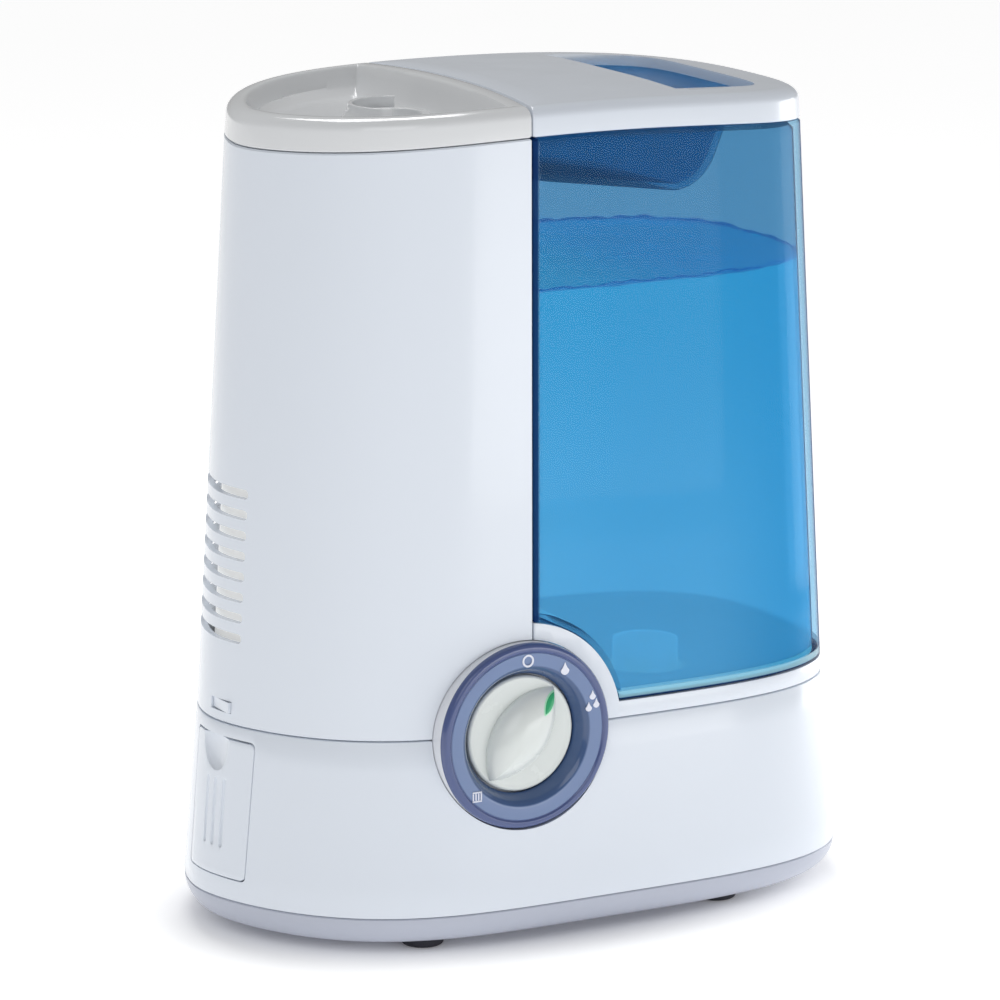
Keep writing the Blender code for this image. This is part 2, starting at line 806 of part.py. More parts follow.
def make_tower():
    low, high = SEAM_Z + SEAM_GAP / 2, CAP_Z - SEAM_GAP / 2
    shell = loft("tower_shell", [ring(low), ring(high, 0.0, CAP_CROWN)], "white_plastic")
    hollow = loft("tower_hollow", [ring(0.070, WALL), ring(0.33, WALL, CAP_CROWN)])
    keep(shell, TOWER_SIDE)
    cut(shell, keep(hollow, TOWER_INSIDE))
    cut(shell, dial_cylinder("tower_notch", NOTCH_R, POD_BACK + 0.0010))
    for i in range(VENT_COUNT):
        z = VENT_LOW_Z + i * VENT_PITCH
        vent = box(
            f"vent_{i + 1}",
            (-0.16, -0.0162, z - VENT_HEIGHT / 2),
            (-0.090, 0.12, z + VENT_HEIGHT / 2),
            round_by=0.0010,
            segments=1,
        )
        cut(shell, vent)
    latch_hole = box(
        "latch_hole",
        (-0.14, LATCH_Y[0] - GAP, LATCH_Z[0] - GAP),
        (-0.11, LATCH_Y[1] + GAP, LATCH_Z[1] + GAP),
    )
    cut(shell, latch_hole)
    make_tower_latch()
    make_tower_top()
    make_steam_duct()


def make_tower_latch():
    """Push tab that frees the tower, with a plate inside the wall that holds it in."""
    at = Vector((end_x(sum(LATCH_Y) / 2, LATCH_Z[1]), sum(LATCH_Y) / 2, sum(LATCH_Z) / 2))
    low = Vector((at.x - 0.0002, LATCH_Y[0], LATCH_Z[0]))
    high = Vector((at.x + 0.0070, LATCH_Y[1], LATCH_Z[1]))
    latch = box("tower_latch", low, high, "white_plastic", at)
    plate = box(
        "latch_plate",
        (high.x - 0.0004, low.y - 0.0020, low.z - 0.0015),
        (high.x + 0.0014, high.y + 0.0020, high.z + 0.0040),
    )
    return join(latch, plate)


def make_tower_top():
    """Cap with the steam bowl, its outlet grille and the collar of the medicine cup."""
    top = keep(loft("tower_top", cap_levels(), "white_plastic"), TOWER_SIDE)
    plug = loft("bowl_plug", [ring(0.2990, WALL + 0.0006), ring(0.3090, WALL + 0.0006)])
    keep(plug, whole_side("plug_side", -1, SEAM_GAP / 2 + WALL + 0.0006))
    join(top, plug)
    bowl = loft(
        "bowl_hollow",
        [
            ring(BOWL_Z, 0.0200),
            ring(BOWL_Z + 0.0010, 0.0160),
            ring(BOWL_Z + 0.0050, 0.0105),
            ring(TOP_Z - 0.0012, 0.0072),
            ring(TOP_Z + 0.0060, 0.0040),
        ],
    )
    slope = [(BOWL_Z - 0.0020, 0.0138), (BOWL_Z, 0.0128), (TOP_Z, 0.0066), (0.33, 0.0030)]
    cut(top, keep(bowl, side_block("bowl_slope", -1, slope)))
    collar = turned(
        "cup_collar",
        [
            (COLLAR_R - 0.0016, 0.3094),
            (COLLAR_R, 0.3094),
            (COLLAR_R + 0.0018, 0.3025),
            (COLLAR_R - 0.0016, 0.3025),
        ],
        (*CUP.xy, 0),
        steps=24,
    )
    half = box("collar_half", (-0.04, 0.0, 0.29), (0.04, 0.04, 0.32))
    half.data.transform(Matrix.Rotation(COLLAR_TURN, 4, "Z"))
    half.location = (*CUP.xy, 0)
    join(top, keep(collar, half))
    cut(top, rod("cup_bore", (*CUP.xy, 0.28), (*CUP.xy, 0.33), 0.0124, steps=24))
    for i in range(5):
        x = -0.0760 + i * 0.0066
        low, high = (x - 0.0021, -0.0300, 0.28), (x + 0.0021, -0.0195, 0.32)
        grille = box(f"steam_slot_{i + 1}", low, high)
        cut(top, grille)
    turned(
        "medicine_cup",
        [
            (0.0108, 0.3056),
            (0.0140, 0.3056),
            (0.0140, 0.3040),
            (0.0118, 0.3038),
            (0.0112, 0.2950),
            (0.0100, 0.2935),
            (0, 0.2935),
            (0, 0.2947),
            (0.0094, 0.2947),
            (0.0102, 0.2958),
        ],
        (*CUP.xy, 0),
        "warm_white_plastic",
        steps=24,
    )


def make_steam_duct():
    """Funnel over the boiler, and the chimney on it that leads the steam up to the bowl."""
    wall, joint_z = 0.0016, 0.1400
    funnel = [(0.0200, joint_z - GAP), (0.0200, 0.1250), (0.0330, 0.0960), (0.0330, 0.0840)]
    chimney = [(0.0270, 0.2986), (0.0270, 0.2850), (0.0200, 0.2550), (0.0200, joint_z)]
    for name, outer in (("steam_funnel", funnel), ("steam_duct", chimney)):
        inner = [(r - wall, z) for r, z in reversed(outer)]
        turned(name, outer + inner, (*BOILER.xy, 0), "warm_white_plastic")


# ---- Tank -------------------------------------------------------------------------------------


def make_tank():
    high = CAP_Z - SEAM_GAP / 2
    levels = [ring(TANK_Z), ring(high, 0.0, CAP_CROWN), *crowned_face(high, CAP_CROWN)]
    shell = loft("tank_shell", levels, "blue_clear_plastic")
    keep(shell, TANK_SIDE)
    wall = Vector((WALL, WALL, WALL))
    pocket = box("tank_pocket", POCKET_LOW, POCKET_HIGH, round_by=0.010)
    cut(shell, pocket, dial_cylinder("tank_notch", TRAY_ARC_R + SEAM_GAP, POD_BACK + 0.0020))
    neck = rod("tank_neck", (*NECK.xy, 0.0760), (*NECK.xy, TANK_Z + 0.0010), NECK_R, steps=24)
    join(shell, neck)
    roof = [ring(high - WALL, WALL, CAP_CROWN), *crowned_face(high - WALL, CAP_CROWN, WALL)]
    hollow = loft("tank_hollow", [ring(TANK_Z + WALL, WALL), *roof])
    keep(hollow, TANK_INSIDE)
    outside_pocket = box("pocket_wall", POCKET_LOW - wall, POCKET_HIGH + wall, round_by=0.012)
    notch_r, notch_back = TRAY_ARC_R + SEAM_GAP + WALL, POD_BACK + 0.0020 + WALL
    outside_notch = dial_cylinder("notch_wall", notch_r, notch_back)
    cut(hollow, outside_pocket, outside_notch)
    cut(shell, hollow)
    cut(shell, rod("neck_bore", (*NECK.xy, 0.05), (*NECK.xy, 0.12), NECK_R - 0.0025, steps=24))
    make_tank_top()
    make_tank_cap()


def make_tank_top():
    """White top of the tank: the deck is the handle, and the opening lets the hand in."""
    top = keep(loft("tank_top", cap_levels(), "white_plastic"), TANK_SIDE)
    under_z = TOP_Z - 0.0040
    roof = [ring(under_z, 0.0060, TOP_CROWN), *crowned_face(under_z, TOP_CROWN, 0.0060)]
    under = loft("deck_under", [ring(0.28, 0.0060), *roof])
    keep(under, whole_side("deck_side", 1, 0.0060))
    cut(top, under)
    points = []
    for step in range(17):
        angle = math.pi * (step / 16 - 0.5)
        along = abs(math.cos(angle)) ** 0.8
        across = math.copysign(abs(math.sin(angle)) ** 0.9, math.sin(angle))
        points.append((DECK_EDGE_X + OPENING_LENGTH * along, OPENING_HALF * across))
    rings = [[Vector((x, y, z)) for x, y in points] for z in (0.28, 0.34)]
    return cut(top, loft("hand_opening", rings))


def make_tank_cap():
    """Screw cap of the tank, with its seal and the sprung valve that the post opens."""
    low = 0.0715
    turned(
        "tank_cap",
        [
            (CAP_R - 0.0018, 0.0870),
            (CAP_R, 0.0870),
            (CAP_R, low),
            (0.0040, low),
            (0.0040, low + 0.0020),
            (CAP_R - 0.0018, low + 0.0020),
        ],
        (*NECK.xy, 0),
        "dark_blue_plastic",
        steps=24,
    )
    turned(
        "cap_seal",
        [(0.0165, 0.0757), (0.0190, 0.0757), (0.0190, 0.0738), (0.0165, 0.0738)],
        (*NECK.xy, 0),
        "clear_silicone",
        steps=24,
    )
    cage = turned(
        "valve_cage",
        [
            (0.0030, 0.1010),
            (0.0120, 0.1010),
            (0.0120, low + 0.0023),
            (0.0106, low + 0.0023),
            (0.0106, 0.0995),
            (0.0030, 0.0995),
        ],
        (*NECK.xy, 0),
        "dark_blue_plastic",
    )
    for i, turn in enumerate((45, 135)):
        window = box(f"cage_window_{i + 1}", (-0.02, -0.0050, 0.0780), (0.02, 0.0050, 0.0960))
        window.data.transform(Matrix.Rotation(math.radians(turn), 4, "Z"))
        window.location = (*NECK.xy, 0)
        cut(cage, window)
    turned(
        "valve_plunger",
        [
            (0, 0.0830),
            (0.0022, 0.0830),
            (0.0022, 0.0782),
            (0.0085, 0.0782),
            (0.0085, 0.0764),
            (0.0024, 0.0764),
            (0.0024, 0.0690),
            (0, 0.0690),
        ],
        (*NECK.xy, 0),
        "white_plastic",
    )
    turned(
        "plunger_seal",
        [(0.0028, 0.0761), (0.0080, 0.0761), (0.0080, 0.0740), (0.0028, 0.0740)],
        (*NECK.xy, 0),
        "clear_silicone",
    )
    turns, per_turn, low_z, high_z = 4, 10, 0.0793, 0.0985
    points = []
    for step in range(turns * per_turn + 1):
        angle = 2 * math.pi * step / per_turn
        z = low_z + (high_z - low_z) * step / (turns * per_turn)
        points.append((NECK.x + 0.0050 * math.cos(angle), NECK.y + 0.0050 * math.sin(angle), z))
    wire("valve_spring", points, 0.0005, "steel", sides=1)


make_pan()
make_feet()
make_pan_screws()
make_housing()
make_gland()
make_tank_tray()
make_basin()
make_feed_pipe()
make_boiler()
make_electrics()
make_dial()
make_scent_drawer()
make_tower()
make_tank()
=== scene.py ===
"""Studio scene of a warm-mist humidifier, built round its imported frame.

The frame gives every size and place: the casing's oval is read from the boxes of its nodes, and
each class below rebuilds one sub-assembly at full quality and hands it to the body it moves with.
Metres, +Z up, front towards -Y, the water tank at +X.
"""

from __future__ import annotations

import json
import logging
import math
from dataclasses import dataclass, field
from enum import Enum
from typing import Any, Optional, Sequence, Union

import bmesh
import bpy
import numpy as np
from mathutils import Matrix, Vector

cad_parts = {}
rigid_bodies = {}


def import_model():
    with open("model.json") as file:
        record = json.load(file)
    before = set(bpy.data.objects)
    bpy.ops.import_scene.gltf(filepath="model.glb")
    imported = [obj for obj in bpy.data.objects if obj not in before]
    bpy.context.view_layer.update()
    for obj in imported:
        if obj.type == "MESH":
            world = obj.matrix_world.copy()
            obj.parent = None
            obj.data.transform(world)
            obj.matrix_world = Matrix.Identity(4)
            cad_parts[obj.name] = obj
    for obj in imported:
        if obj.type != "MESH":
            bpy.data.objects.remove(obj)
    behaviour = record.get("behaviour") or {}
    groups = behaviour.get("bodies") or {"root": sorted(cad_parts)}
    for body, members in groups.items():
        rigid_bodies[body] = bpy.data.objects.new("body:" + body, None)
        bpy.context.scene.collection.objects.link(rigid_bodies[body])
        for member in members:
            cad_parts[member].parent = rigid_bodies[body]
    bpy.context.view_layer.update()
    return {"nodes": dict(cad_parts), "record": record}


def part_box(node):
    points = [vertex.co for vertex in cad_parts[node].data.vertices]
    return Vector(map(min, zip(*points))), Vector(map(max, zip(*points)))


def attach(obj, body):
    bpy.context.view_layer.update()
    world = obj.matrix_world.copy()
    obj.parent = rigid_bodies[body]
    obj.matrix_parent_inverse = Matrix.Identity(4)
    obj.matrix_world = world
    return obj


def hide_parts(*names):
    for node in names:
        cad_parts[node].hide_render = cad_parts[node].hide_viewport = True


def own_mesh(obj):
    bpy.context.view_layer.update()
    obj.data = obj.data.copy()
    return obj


LOG = logging.getLogger("humidifier")
WATER_FACE = "water_face"
Colour = tuple[float, float, float]
Point = tuple[float, float]


# ---- Shader graphs ---------------------------------------------------------------------------


class Sock:
    """An output socket that builds Math nodes from Python expressions."""

    def __init__(self, graph: "Graph", socket: Any) -> None:
        """Wraps a socket of the graph."""
        self.graph = graph
        self.socket = socket

    def _math(self, operation: str, *values: "Value") -> "Sock":
        """Adds one Math node over the values."""
        inputs = dict(enumerate(values))
        return self.graph.node("ShaderNodeMath", {"operation": operation}, inputs)

    def __add__(self, other: "Value") -> "Sock":
        """self + other."""
        return self._math("ADD", self, other)

    def __radd__(self, other: "Value") -> "Sock":
        """other + self."""
        return self._math("ADD", other, self)

    def __sub__(self, other: "Value") -> "Sock":
        """self - other."""
        return self._math("SUBTRACT", self, other)

    def __rsub__(self, other: "Value") -> "Sock":
        """other - self."""
        return self._math("SUBTRACT", other, self)

    def __mul__(self, other: "Value") -> "Sock":
        """self * other."""
        return self._math("MULTIPLY", self, other)

    def __rmul__(self, other: "Value") -> "Sock":
        """other * self."""
        return self._math("MULTIPLY", other, self)

    def __truediv__(self, other: "Value") -> "Sock":
        """self / other."""
        return self._math("DIVIDE", self, other)

    def __pow__(self, other: "Value") -> "Sock":
        """self ** other."""
        return self._math("POWER", self, other)


Value = Union[Sock, float]


class Graph:
    """The node tree of one new material."""

    def __init__(self, name: str) -> None:
        """Makes an empty material with only its output.

        Args:
            name: the material's name.
        """
        self.material = bpy.data.materials.new(name)
        self.material.use_nodes = True
        self.nodes = self.material.node_tree.nodes
        self.links = self.material.node_tree.links
        self.nodes.clear()
        self.output = self.nodes.new("ShaderNodeOutputMaterial")

    def node(
        self, kind: str, settings: dict[str, Any], inputs: dict[Any, Any], out: Any = 0
    ) -> Sock:
        """Adds a node, sets it up and links it.

        Args:
            kind: the node's type.
            settings: attributes, set first. "stops" fills a colour ramp.
            inputs: a value or a Sock for each input, by name or index.
            out: name or index of the output that is returned.

        Returns:
            The chosen output, wrapped.
        """
        made = self.nodes.new(kind)
        for key, setting in settings.items():
            if key == "stops":
                ramp = made.color_ramp.elements
                while len(ramp) < len(setting):
                    ramp.new(0.5)
                for stop, (place, colour) in zip(ramp, setting):
                    stop.position = place
                    stop.color = (*colour, 1.0)
            else:
                setattr(made, key, setting)
        for key, given in inputs.items():
            if isinstance(given, Sock):
                self.links.new(given.socket, made.inputs[key])
            else:
                made.inputs[key].default_value = given
        return Sock(self, made.outputs[out])

    def place(self) -> Sock:
        """Object coordinates."""
        return self.node("ShaderNodeTexCoord", {}, {}, "Object")

    def axes(self) -> list[Sock]:
        """Splits the Object coordinates.

        Returns:
            Their x, y and z.
        """
        split = self.node("ShaderNodeSeparateXYZ", {}, {0: self.place()})
        outputs = split.socket.node.outputs
        return [Sock(self, outputs[i]) for i in range(3)]

    def noise(self, scale: float, detail: float = 3.0, stretch: Colour = (1, 1, 1)) -> Sock:
        """Noise over the piece.

        Args:
            scale: how many waves it has in a metre.
            detail: how many finer layers it has.
            stretch: scale along each axis, to draw it out.

        Returns:
            A value from 0 to 1.
        """
        mapped = self.node("ShaderNodeMapping", {}, {"Vector": self.place(), "Scale": stretch})
        settings = {"Vector": mapped, "Scale": scale, "Detail": detail}
        return self.node("ShaderNodeTexNoise", {}, settings, "Fac")

    def ramp(self, value: Sock, low: float, high: float) -> Sock:
        """Turns a value into a smooth step.

        Args:
            value: what is measured.
            low: where the step starts.
            high: where the step ends.

        Returns:
            0 below low, 1 above high, smooth between.
        """
        inputs = {"Value": value, "From Min": low, "From Max": high}
        settings = {"interpolation_type": "SMOOTHSTEP"}
        return self.node("ShaderNodeMapRange", settings, inputs)

    def larger(self, first: Value, second: Value) -> Sock:
        """The larger of two values."""
        return self.node("ShaderNodeMath", {"operation": "MAXIMUM"}, {0: first, 1: second})

    def blend(self, share: Value, first: Any, second: Any) -> Sock:
        """Mixes two colours.

        Args:
            share: how much of the second there is.
            first: a colour or a Sock.
            second: a colour or a Sock.

        Returns:
            The mixed colour.
        """
        first, second = (c if isinstance(c, Sock) else (*c, 1.0) for c in (first, second))
        settings = {"data_type": "RGBA"}
        return self.node("ShaderNodeMix", settings, {0: share, 6: first, 7: second}, 2)

    def bump(self, height: Sock, distance: float, strength: float = 1.0) -> Sock:
        """A Bump node over a height from 0 to 1."""
        inputs = {"Height": height, "Distance": distance, "Strength": strength}
        return self.node("ShaderNodeBump", {}, inputs)

    def principled(self, **inputs: Any) -> Sock:
        """A Principled shader. Underscores in the names stand for spaces."""
        named = {key.replace("_", " "): given for key, given in inputs.items()}
        return self.node("ShaderNodeBsdfPrincipled", {}, named)

    def over_clear(self, cover: Value, tint: Colour, solid: Sock) -> Sock:
        """Lays a shader over tinted clearness.

        Args:
            cover: how much of the solid shader shows.
            tint: what the clearness does to the light behind it.
            solid: the shader on top.

        Returns:
            The mixed shader.
        """
        clear = self.node("ShaderNodeBsdfTransparent", {}, {"Color": (*tint, 1.0)})
        return self.node("ShaderNodeMixShader", {}, {0: cover, 1: clear, 2: solid})

    def finish(self, shader: Sock) -> bpy.types.Material:
        """Links the shader to the output and returns the material."""
        self.links.new(shader.socket, self.output.inputs["Surface"])
        return self.material


# ---- Finishes --------------------------------------------------------------------------------


@dataclass(frozen=True)
class MouldedPlastic:
    """Injection-moulded plastic: cloudy colour, uneven gloss, a fine moulded skin and an optional
    painted glow.
    """

    name: str
    colour: Colour
    roughness: float = 0.22
    coat: float = 0.35
    cloud: float = 0.03
    skin: float = 0.000012
    # painted_glow: emission strength, painted light that makes a piece look lit though it is no
    # lamp.
    painted_glow: float = 0.0

    def make(self) -> bpy.types.Material:
        """Builds the finish.

        Returns:
            The material.
        """
        graph = Graph(self.name)
        cloud = graph.noise(14.0)
        darker = tuple(c * (1 - self.cloud) for c in self.colour)
        handled = graph.noise(46.0, 5.0)
        skin = graph.noise(2600.0, 2.0)
        shader = graph.principled(
            Base_Color=graph.blend(cloud, darker, self.colour),
            Roughness=self.roughness + 0.10 * (handled - 0.5),
            Normal=graph.bump(skin, self.skin),
            IOR=1.5,
            Coat_Weight=self.coat,
            Coat_Roughness=0.08,
            Emission_Color=(*self.colour, 1.0),
            Emission_Strength=self.painted_glow,
        )
        return graph.finish(shader)


@dataclass(frozen=True)
class SplitLine:
    """Where the tower meets the tank, seen from above: x as a function of depth."""

    at: float
    bulge: float
    half_depth: float

    def x(self, y: float) -> float:
        """The line's x at a depth."""
        return self.at + self.bulge * (1 - (y / self.half_depth) ** 2)


@dataclass(frozen=True)
class TintedClear:
    """Clear plastic with a tint that deepens where it turns away, with painted shade in a dark band
    along the split and the bottom edge, and a painted paler floor.
    """

    name: str
    tint: Colour
    body: Colour
    edge: Colour
    cover: float
    line: SplitLine
    low_z: float
    split_shade_width: float = 0.0022
    foot_shade: float = 0.0009
    # floor: a paler floor colour, painted light standing in for light from below.
    floor: Colour = (0.33, 0.66, 0.80)
    lit_floor_cover: float = 0.62
    floor_depth: float = 0.0034
    floor_blur: float = 0.0004
    rim_from: float = 0.76
    rim_to: float = 0.94
    deep_share: float = 0.92

    def make(self) -> bpy.types.Material:
        """Builds the finish.

        Returns:
            The material.
        """
        graph = Graph(self.name)
        x, y, z = graph.axes()
        # Painted shade: a dark band along the split, where the tank meets the tower.
        back = x - (self.line.at + self.line.bulge) + self.line.bulge * (
            (y / self.line.half_depth) ** 2.0
        )
        edge = 1.0 - graph.ramp(back, self.split_shade_width * 0.8, self.split_shade_width * 1.5)
        # Painted shade: a dark band along the bottom edge, where the tank sits on the tray.
        foot_shade = 1.0 - graph.ramp(z, self.low_z + self.foot_shade * 0.6, self.low_z + self.foot_shade * 1.4)
        edge = graph.larger(edge, foot_shade)
        facing = graph.node("ShaderNodeLayerWeight", {}, {"Blend": 0.5}, "Facing")
        rim = graph.ramp(facing, self.rim_from, self.rim_to)
        cloud = graph.noise(9.0)
        body = graph.blend(cloud * 0.4, self.body, tuple(c * 0.8 for c in self.body))
        # Painted light: the floor is paler and less clear, standing in for light from below.
        floor_z = self.low_z + self.floor_depth
        lit_floor_mask = 1.0 - graph.ramp(z, floor_z - self.floor_blur, floor_z + self.floor_blur)
        body = graph.blend(lit_floor_mask, body, self.floor)
        deep = graph.larger(edge, rim * self.deep_share)
        plastic = graph.principled(
            Base_Color=graph.blend(deep, body, self.edge),
            Roughness=0.04 + 0.04 * graph.noise(60.0) + 0.7 * deep,
            Normal=graph.bump(graph.noise(38.0, 2.0), 0.00004),
            IOR=1.45,
            Specular_IOR_Level=0.10,
            Coat_Weight=0.7 * (1.0 - deep),
            Coat_Roughness=0.03,
        )
        cover = self.cover + (self.lit_floor_cover - self.cover) * lit_floor_mask
        cover = cover + (self.deep_share - cover) * deep
        return graph.finish(graph.over_clear(cover, self.tint, plastic))


@dataclass(frozen=True)
class StandingWater:
    """Water in the tank, with painted light: a painted glow, paler towards the floor, painted shade
    towards the tank's end and over the far top, and a painted dark line where it climbs the wall.
    """

    name: str
    tint: Colour
    lit_low_colour: Colour
    high_colour: Colour
    shaded_end_colour: Colour
    shaded_line_colour: Colour
    top_near: Colour
    shaded_top_far: Colour
    low_z: float
    high_z: float
    cover: float
    painted_glow: float
    end_from: float = 0.045
    end_to: float = 0.100
    end_share: float = 0.75
    wander: float = 0.0016

    def make(self) -> bpy.types.Material:
        """Builds the finish.

        Returns:
            The material.
        """
        graph = Graph(self.name)
        x, _, z = graph.axes()
        # Painted light: paler towards the floor.
        rise = graph.ramp(z, self.low_z, self.high_z)
        depth = graph.blend(rise, self.lit_low_colour, self.high_colour)
        # Painted shade: darker towards the tank's end.
        end = graph.ramp(x, self.end_from, self.end_to) * self.end_share
        depth = graph.blend(end, depth, self.shaded_end_colour)
        # Painted shade: a dark line where the water climbs the wall.
        wander = self.wander * (graph.noise(70.0, 2.0) - 0.5)
        line = graph.ramp(z + wander, self.high_z - 0.0006, self.high_z + 0.0002)
        depth = graph.blend(line, depth, self.shaded_line_colour)
        marked = {"attribute_name": WATER_FACE}
        upward = graph.node("ShaderNodeAttribute", marked, {}, "Fac")
        # Painted shade: the top surface is darker further along.
        surface = graph.blend(graph.ramp(x, -0.01, 0.06), self.top_near, self.shaded_top_far)
        depth = graph.blend(upward, depth, surface)
        water = graph.principled(
            Base_Color=depth,
            Roughness=0.04 + 0.03 * graph.noise(30.0),
            Normal=graph.bump(graph.noise(90.0, 2.0), 0.0002),
            IOR=1.33,
            # Painted light: the water glows in its own colour, though it is no lamp.
            Emission_Color=depth,
            Emission_Strength=self.painted_glow,
        )
        return graph.finish(graph.over_clear(self.cover, self.tint, water))


@dataclass(frozen=True)
class DialPlastic:
    """Tinted dial plastic, darker at its rim, with a painted highlight on its annulus and painted
    shade in its throat.
    """

    name: str
    centre: Vector
    face_r: float
    rim_r: float
    shaded_throat: Colour
    face: Colour
    rim: Colour
    side: Colour
    blur: float = 0.0004
    side_from: float = 0.0020
    side_to: float = 0.0023

    def make(self) -> bpy.types.Material:
        """Builds the finish.

        Returns:
            The material.
        """
        graph = Graph(self.name)
        x, y, z = graph.axes()
        radius = ((x - self.centre.x) ** 2.0 + (z - self.centre.z) ** 2.0) ** 0.5
        # Painted highlight on the annulus and painted shade in the throat.
        on_face = graph.ramp(radius, self.face_r - self.blur, self.face_r + self.blur)
        on_rim = graph.ramp(radius, self.rim_r - self.blur, self.rim_r + self.blur)
        colour = graph.blend(on_rim, graph.blend(on_face, self.shaded_throat, self.face), self.rim)
        colour = graph.blend(graph.noise(40.0) * 0.25, colour, self.rim)
        front = self.centre.y
        behind = graph.ramp(y, front + self.side_from, front + self.side_to)
        shader = graph.principled(
            Base_Color=graph.blend(behind * on_rim, colour, self.side),
            Roughness=0.16 + 0.10 * graph.noise(160.0),
            Normal=graph.bump(graph.noise(1900.0, 2.0), 0.000010),
            IOR=1.5,
            Coat_Weight=0.6,
            Coat_Roughness=0.05,
        )
        return graph.finish(shader)


@dataclass(frozen=True)
class Rubber:
    """Rubber or silicone: matt, with a fine grain."""

    name: str
    colour: Colour
    roughness: float = 0.7

    def make(self) -> bpy.types.Material:
        """Builds the finish.

        Returns:
            The material.
        """
        graph = Graph(self.name)
        worn = tuple(min(1.0, c * 1.35 + 0.01) for c in self.colour)
        shader = graph.principled(
            Base_Color=graph.blend(graph.noise(120.0, 6.0), self.colour, worn),
            Roughness=self.roughness + 0.15 * (graph.noise(300.0) - 0.5),
            Normal=graph.bump(graph.noise(1500.0, 4.0), 0.00004),
            IOR=1.45,
        )
        return graph.finish(shader)


@dataclass(frozen=True)
class Metal:
    """Bare metal with drawing lines along one axis."""

    name: str
    colour: Colour
    roughness: float
    stretch: Colour = (1.0, 1.0, 0.04)

    def make(self) -> bpy.types.Material:
        """Builds the finish.

        Returns:
            The material.
        """
        graph = Graph(self.name)
        lines = graph.noise(1800.0, 4.0, self.stretch)
        dull = tuple(c * 0.8 for c in self.colour)
        shader = graph.principled(
            Base_Color=graph.blend(graph.noise(30.0), dull, self.colour),
            Roughness=self.roughness + 0.16 * (lines - 0.5),
            Normal=graph.bump(lines, 0.00002),
            Metallic=1.0,
        )
        return graph.finish(shader)


@dataclass(frozen=True)
class Felt:
    """Pressed fibre pad."""

    name: str
    colour: Colour

    def make(self) -> bpy.types.Material:
        """Builds the finish.

        Returns:
            The material.
        """
        graph = Graph(self.name)
        fibres = graph.noise(900.0, 8.0, (1.0, 0.25, 1.0))
        clumps = graph.noise(160.0, 4.0)
        dark = tuple(c * 0.72 for c in self.colour)
        shader = graph.principled(
            Base_Color=graph.blend(fibres * 0.6 + clumps * 0.4, dark, self.colour),
            Roughness=0.9 + 0.1 * clumps,
            Normal=graph.bump(fibres, 0.0003),
            Sheen_Weight=0.3,
        )
        return graph.finish(shader)


Finish = Union[MouldedPlastic, TintedClear, StandingWater, DialPlastic, Rubber, Metal, Felt]


class Wardrobe:
    """Builds each finish once and hands it out by slot."""

    def __init__(self) -> None:
        """Starts with nothing made."""
        self.made: dict[str, bpy.types.Material] = {}

    def wear(self, piece: bpy.types.Object, finish: Finish) -> None:
        """Puts a finish on a piece, in place of any other.

        Args:
            piece: the object to dress.
            finish: what it wears.
        """
        if finish.name not in self.made:
            self.made[finish.name] = finish.make()
        slots = piece.data.materials
        slots.clear()
        slots.append(self.made[finish.name])


WARDROBE = Wardrobe()

SHELL_WHITE = MouldedPlastic("white_shell", (0.765, 0.815, 0.89), 0.22, 0.25, 0.02)
BOWL_WHITE = MouldedPlastic("bowl_white", (0.79, 0.805, 0.82), 0.14, 0.45, 0.03)
INNER_WHITE = MouldedPlastic("inner_white", (0.74, 0.72, 0.66), 0.38, 0.05, 0.05)
# Painted light: the vent liner glows so that the vent slots look lit where they would lie in shade.
GLOWING_LINER_WHITE = MouldedPlastic("vent_liner", (0.90, 0.89, 0.86), 0.40, 0.05, 0.05, painted_glow=0.30)
PAN_LAVENDER = MouldedPlastic("lavender_pan", (0.50, 0.53, 0.62), 0.33, 0.20, 0.04)
KNOB_WHITE = MouldedPlastic("knob_white", (0.76, 0.80, 0.78), 0.26, 0.30, 0.02)
POINTER_GREEN = MouldedPlastic("pointer_green", (0.030, 0.42, 0.17), 0.30, 0.25, 0.08)
HALO_GREEN = MouldedPlastic("pointer_halo", (0.42, 0.86, 0.58), 0.30, 0.20, 0.02)
MARK_WHITE = MouldedPlastic("dial_mark", (0.80, 0.82, 0.92), 0.40, 0.10, 0.02)
CAP_BLUE = MouldedPlastic("cap_blue", (0.012, 0.11, 0.30), 0.35, 0.10, 0.10)
SWITCH_BLACK = MouldedPlastic("black_plastic", (0.03, 0.03, 0.033), 0.45, 0.05, 0.15)
LEAD_RED = MouldedPlastic("lead_red", (0.46, 0.03, 0.03), 0.45, 0.05, 0.10)
LEAD_WHITE = MouldedPlastic("lead_white", (0.70, 0.70, 0.66), 0.60, 0.0, 0.10, 0.00006)
FOOT_RUBBER = Rubber("foot_rubber", (0.022, 0.022, 0.030))
SILICONE = Rubber("silicone", (0.62, 0.62, 0.59), 0.42)
STEEL = Metal("steel", (0.60, 0.60, 0.62), 0.26)
ALUMINIUM = Metal("aluminium", (0.76, 0.76, 0.78), 0.36, (0.05, 1.0, 1.0))
PAD_FELT = Felt("pad_felt", (0.84, 0.82, 0.74))

SLOT_FINISHES: dict[str, Finish] = {
    "white_shell": SHELL_WHITE,
    "bowl_white": BOWL_WHITE,
    "inner_white": INNER_WHITE,
    "lavender_pan": PAN_LAVENDER,
    "knob_white": KNOB_WHITE,
    "pointer_green": POINTER_GREEN,
    "cap_blue": CAP_BLUE,
    "black_plastic": SWITCH_BLACK,
    "lead_red": LEAD_RED,
    "lead_white": LEAD_WHITE,
    "foot_rubber": FOOT_RUBBER,
    "silicone": SILICONE,
    "steel": STEEL,
    "aluminium": ALUMINIUM,
    "pad_felt": PAD_FELT,
}


# ---- Mesh building ---------------------------------------------------------------------------


def middle_of(node: str) -> Vector:
    """The middle of a node's box."""
    low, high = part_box(node)
    return (low + high) / 2


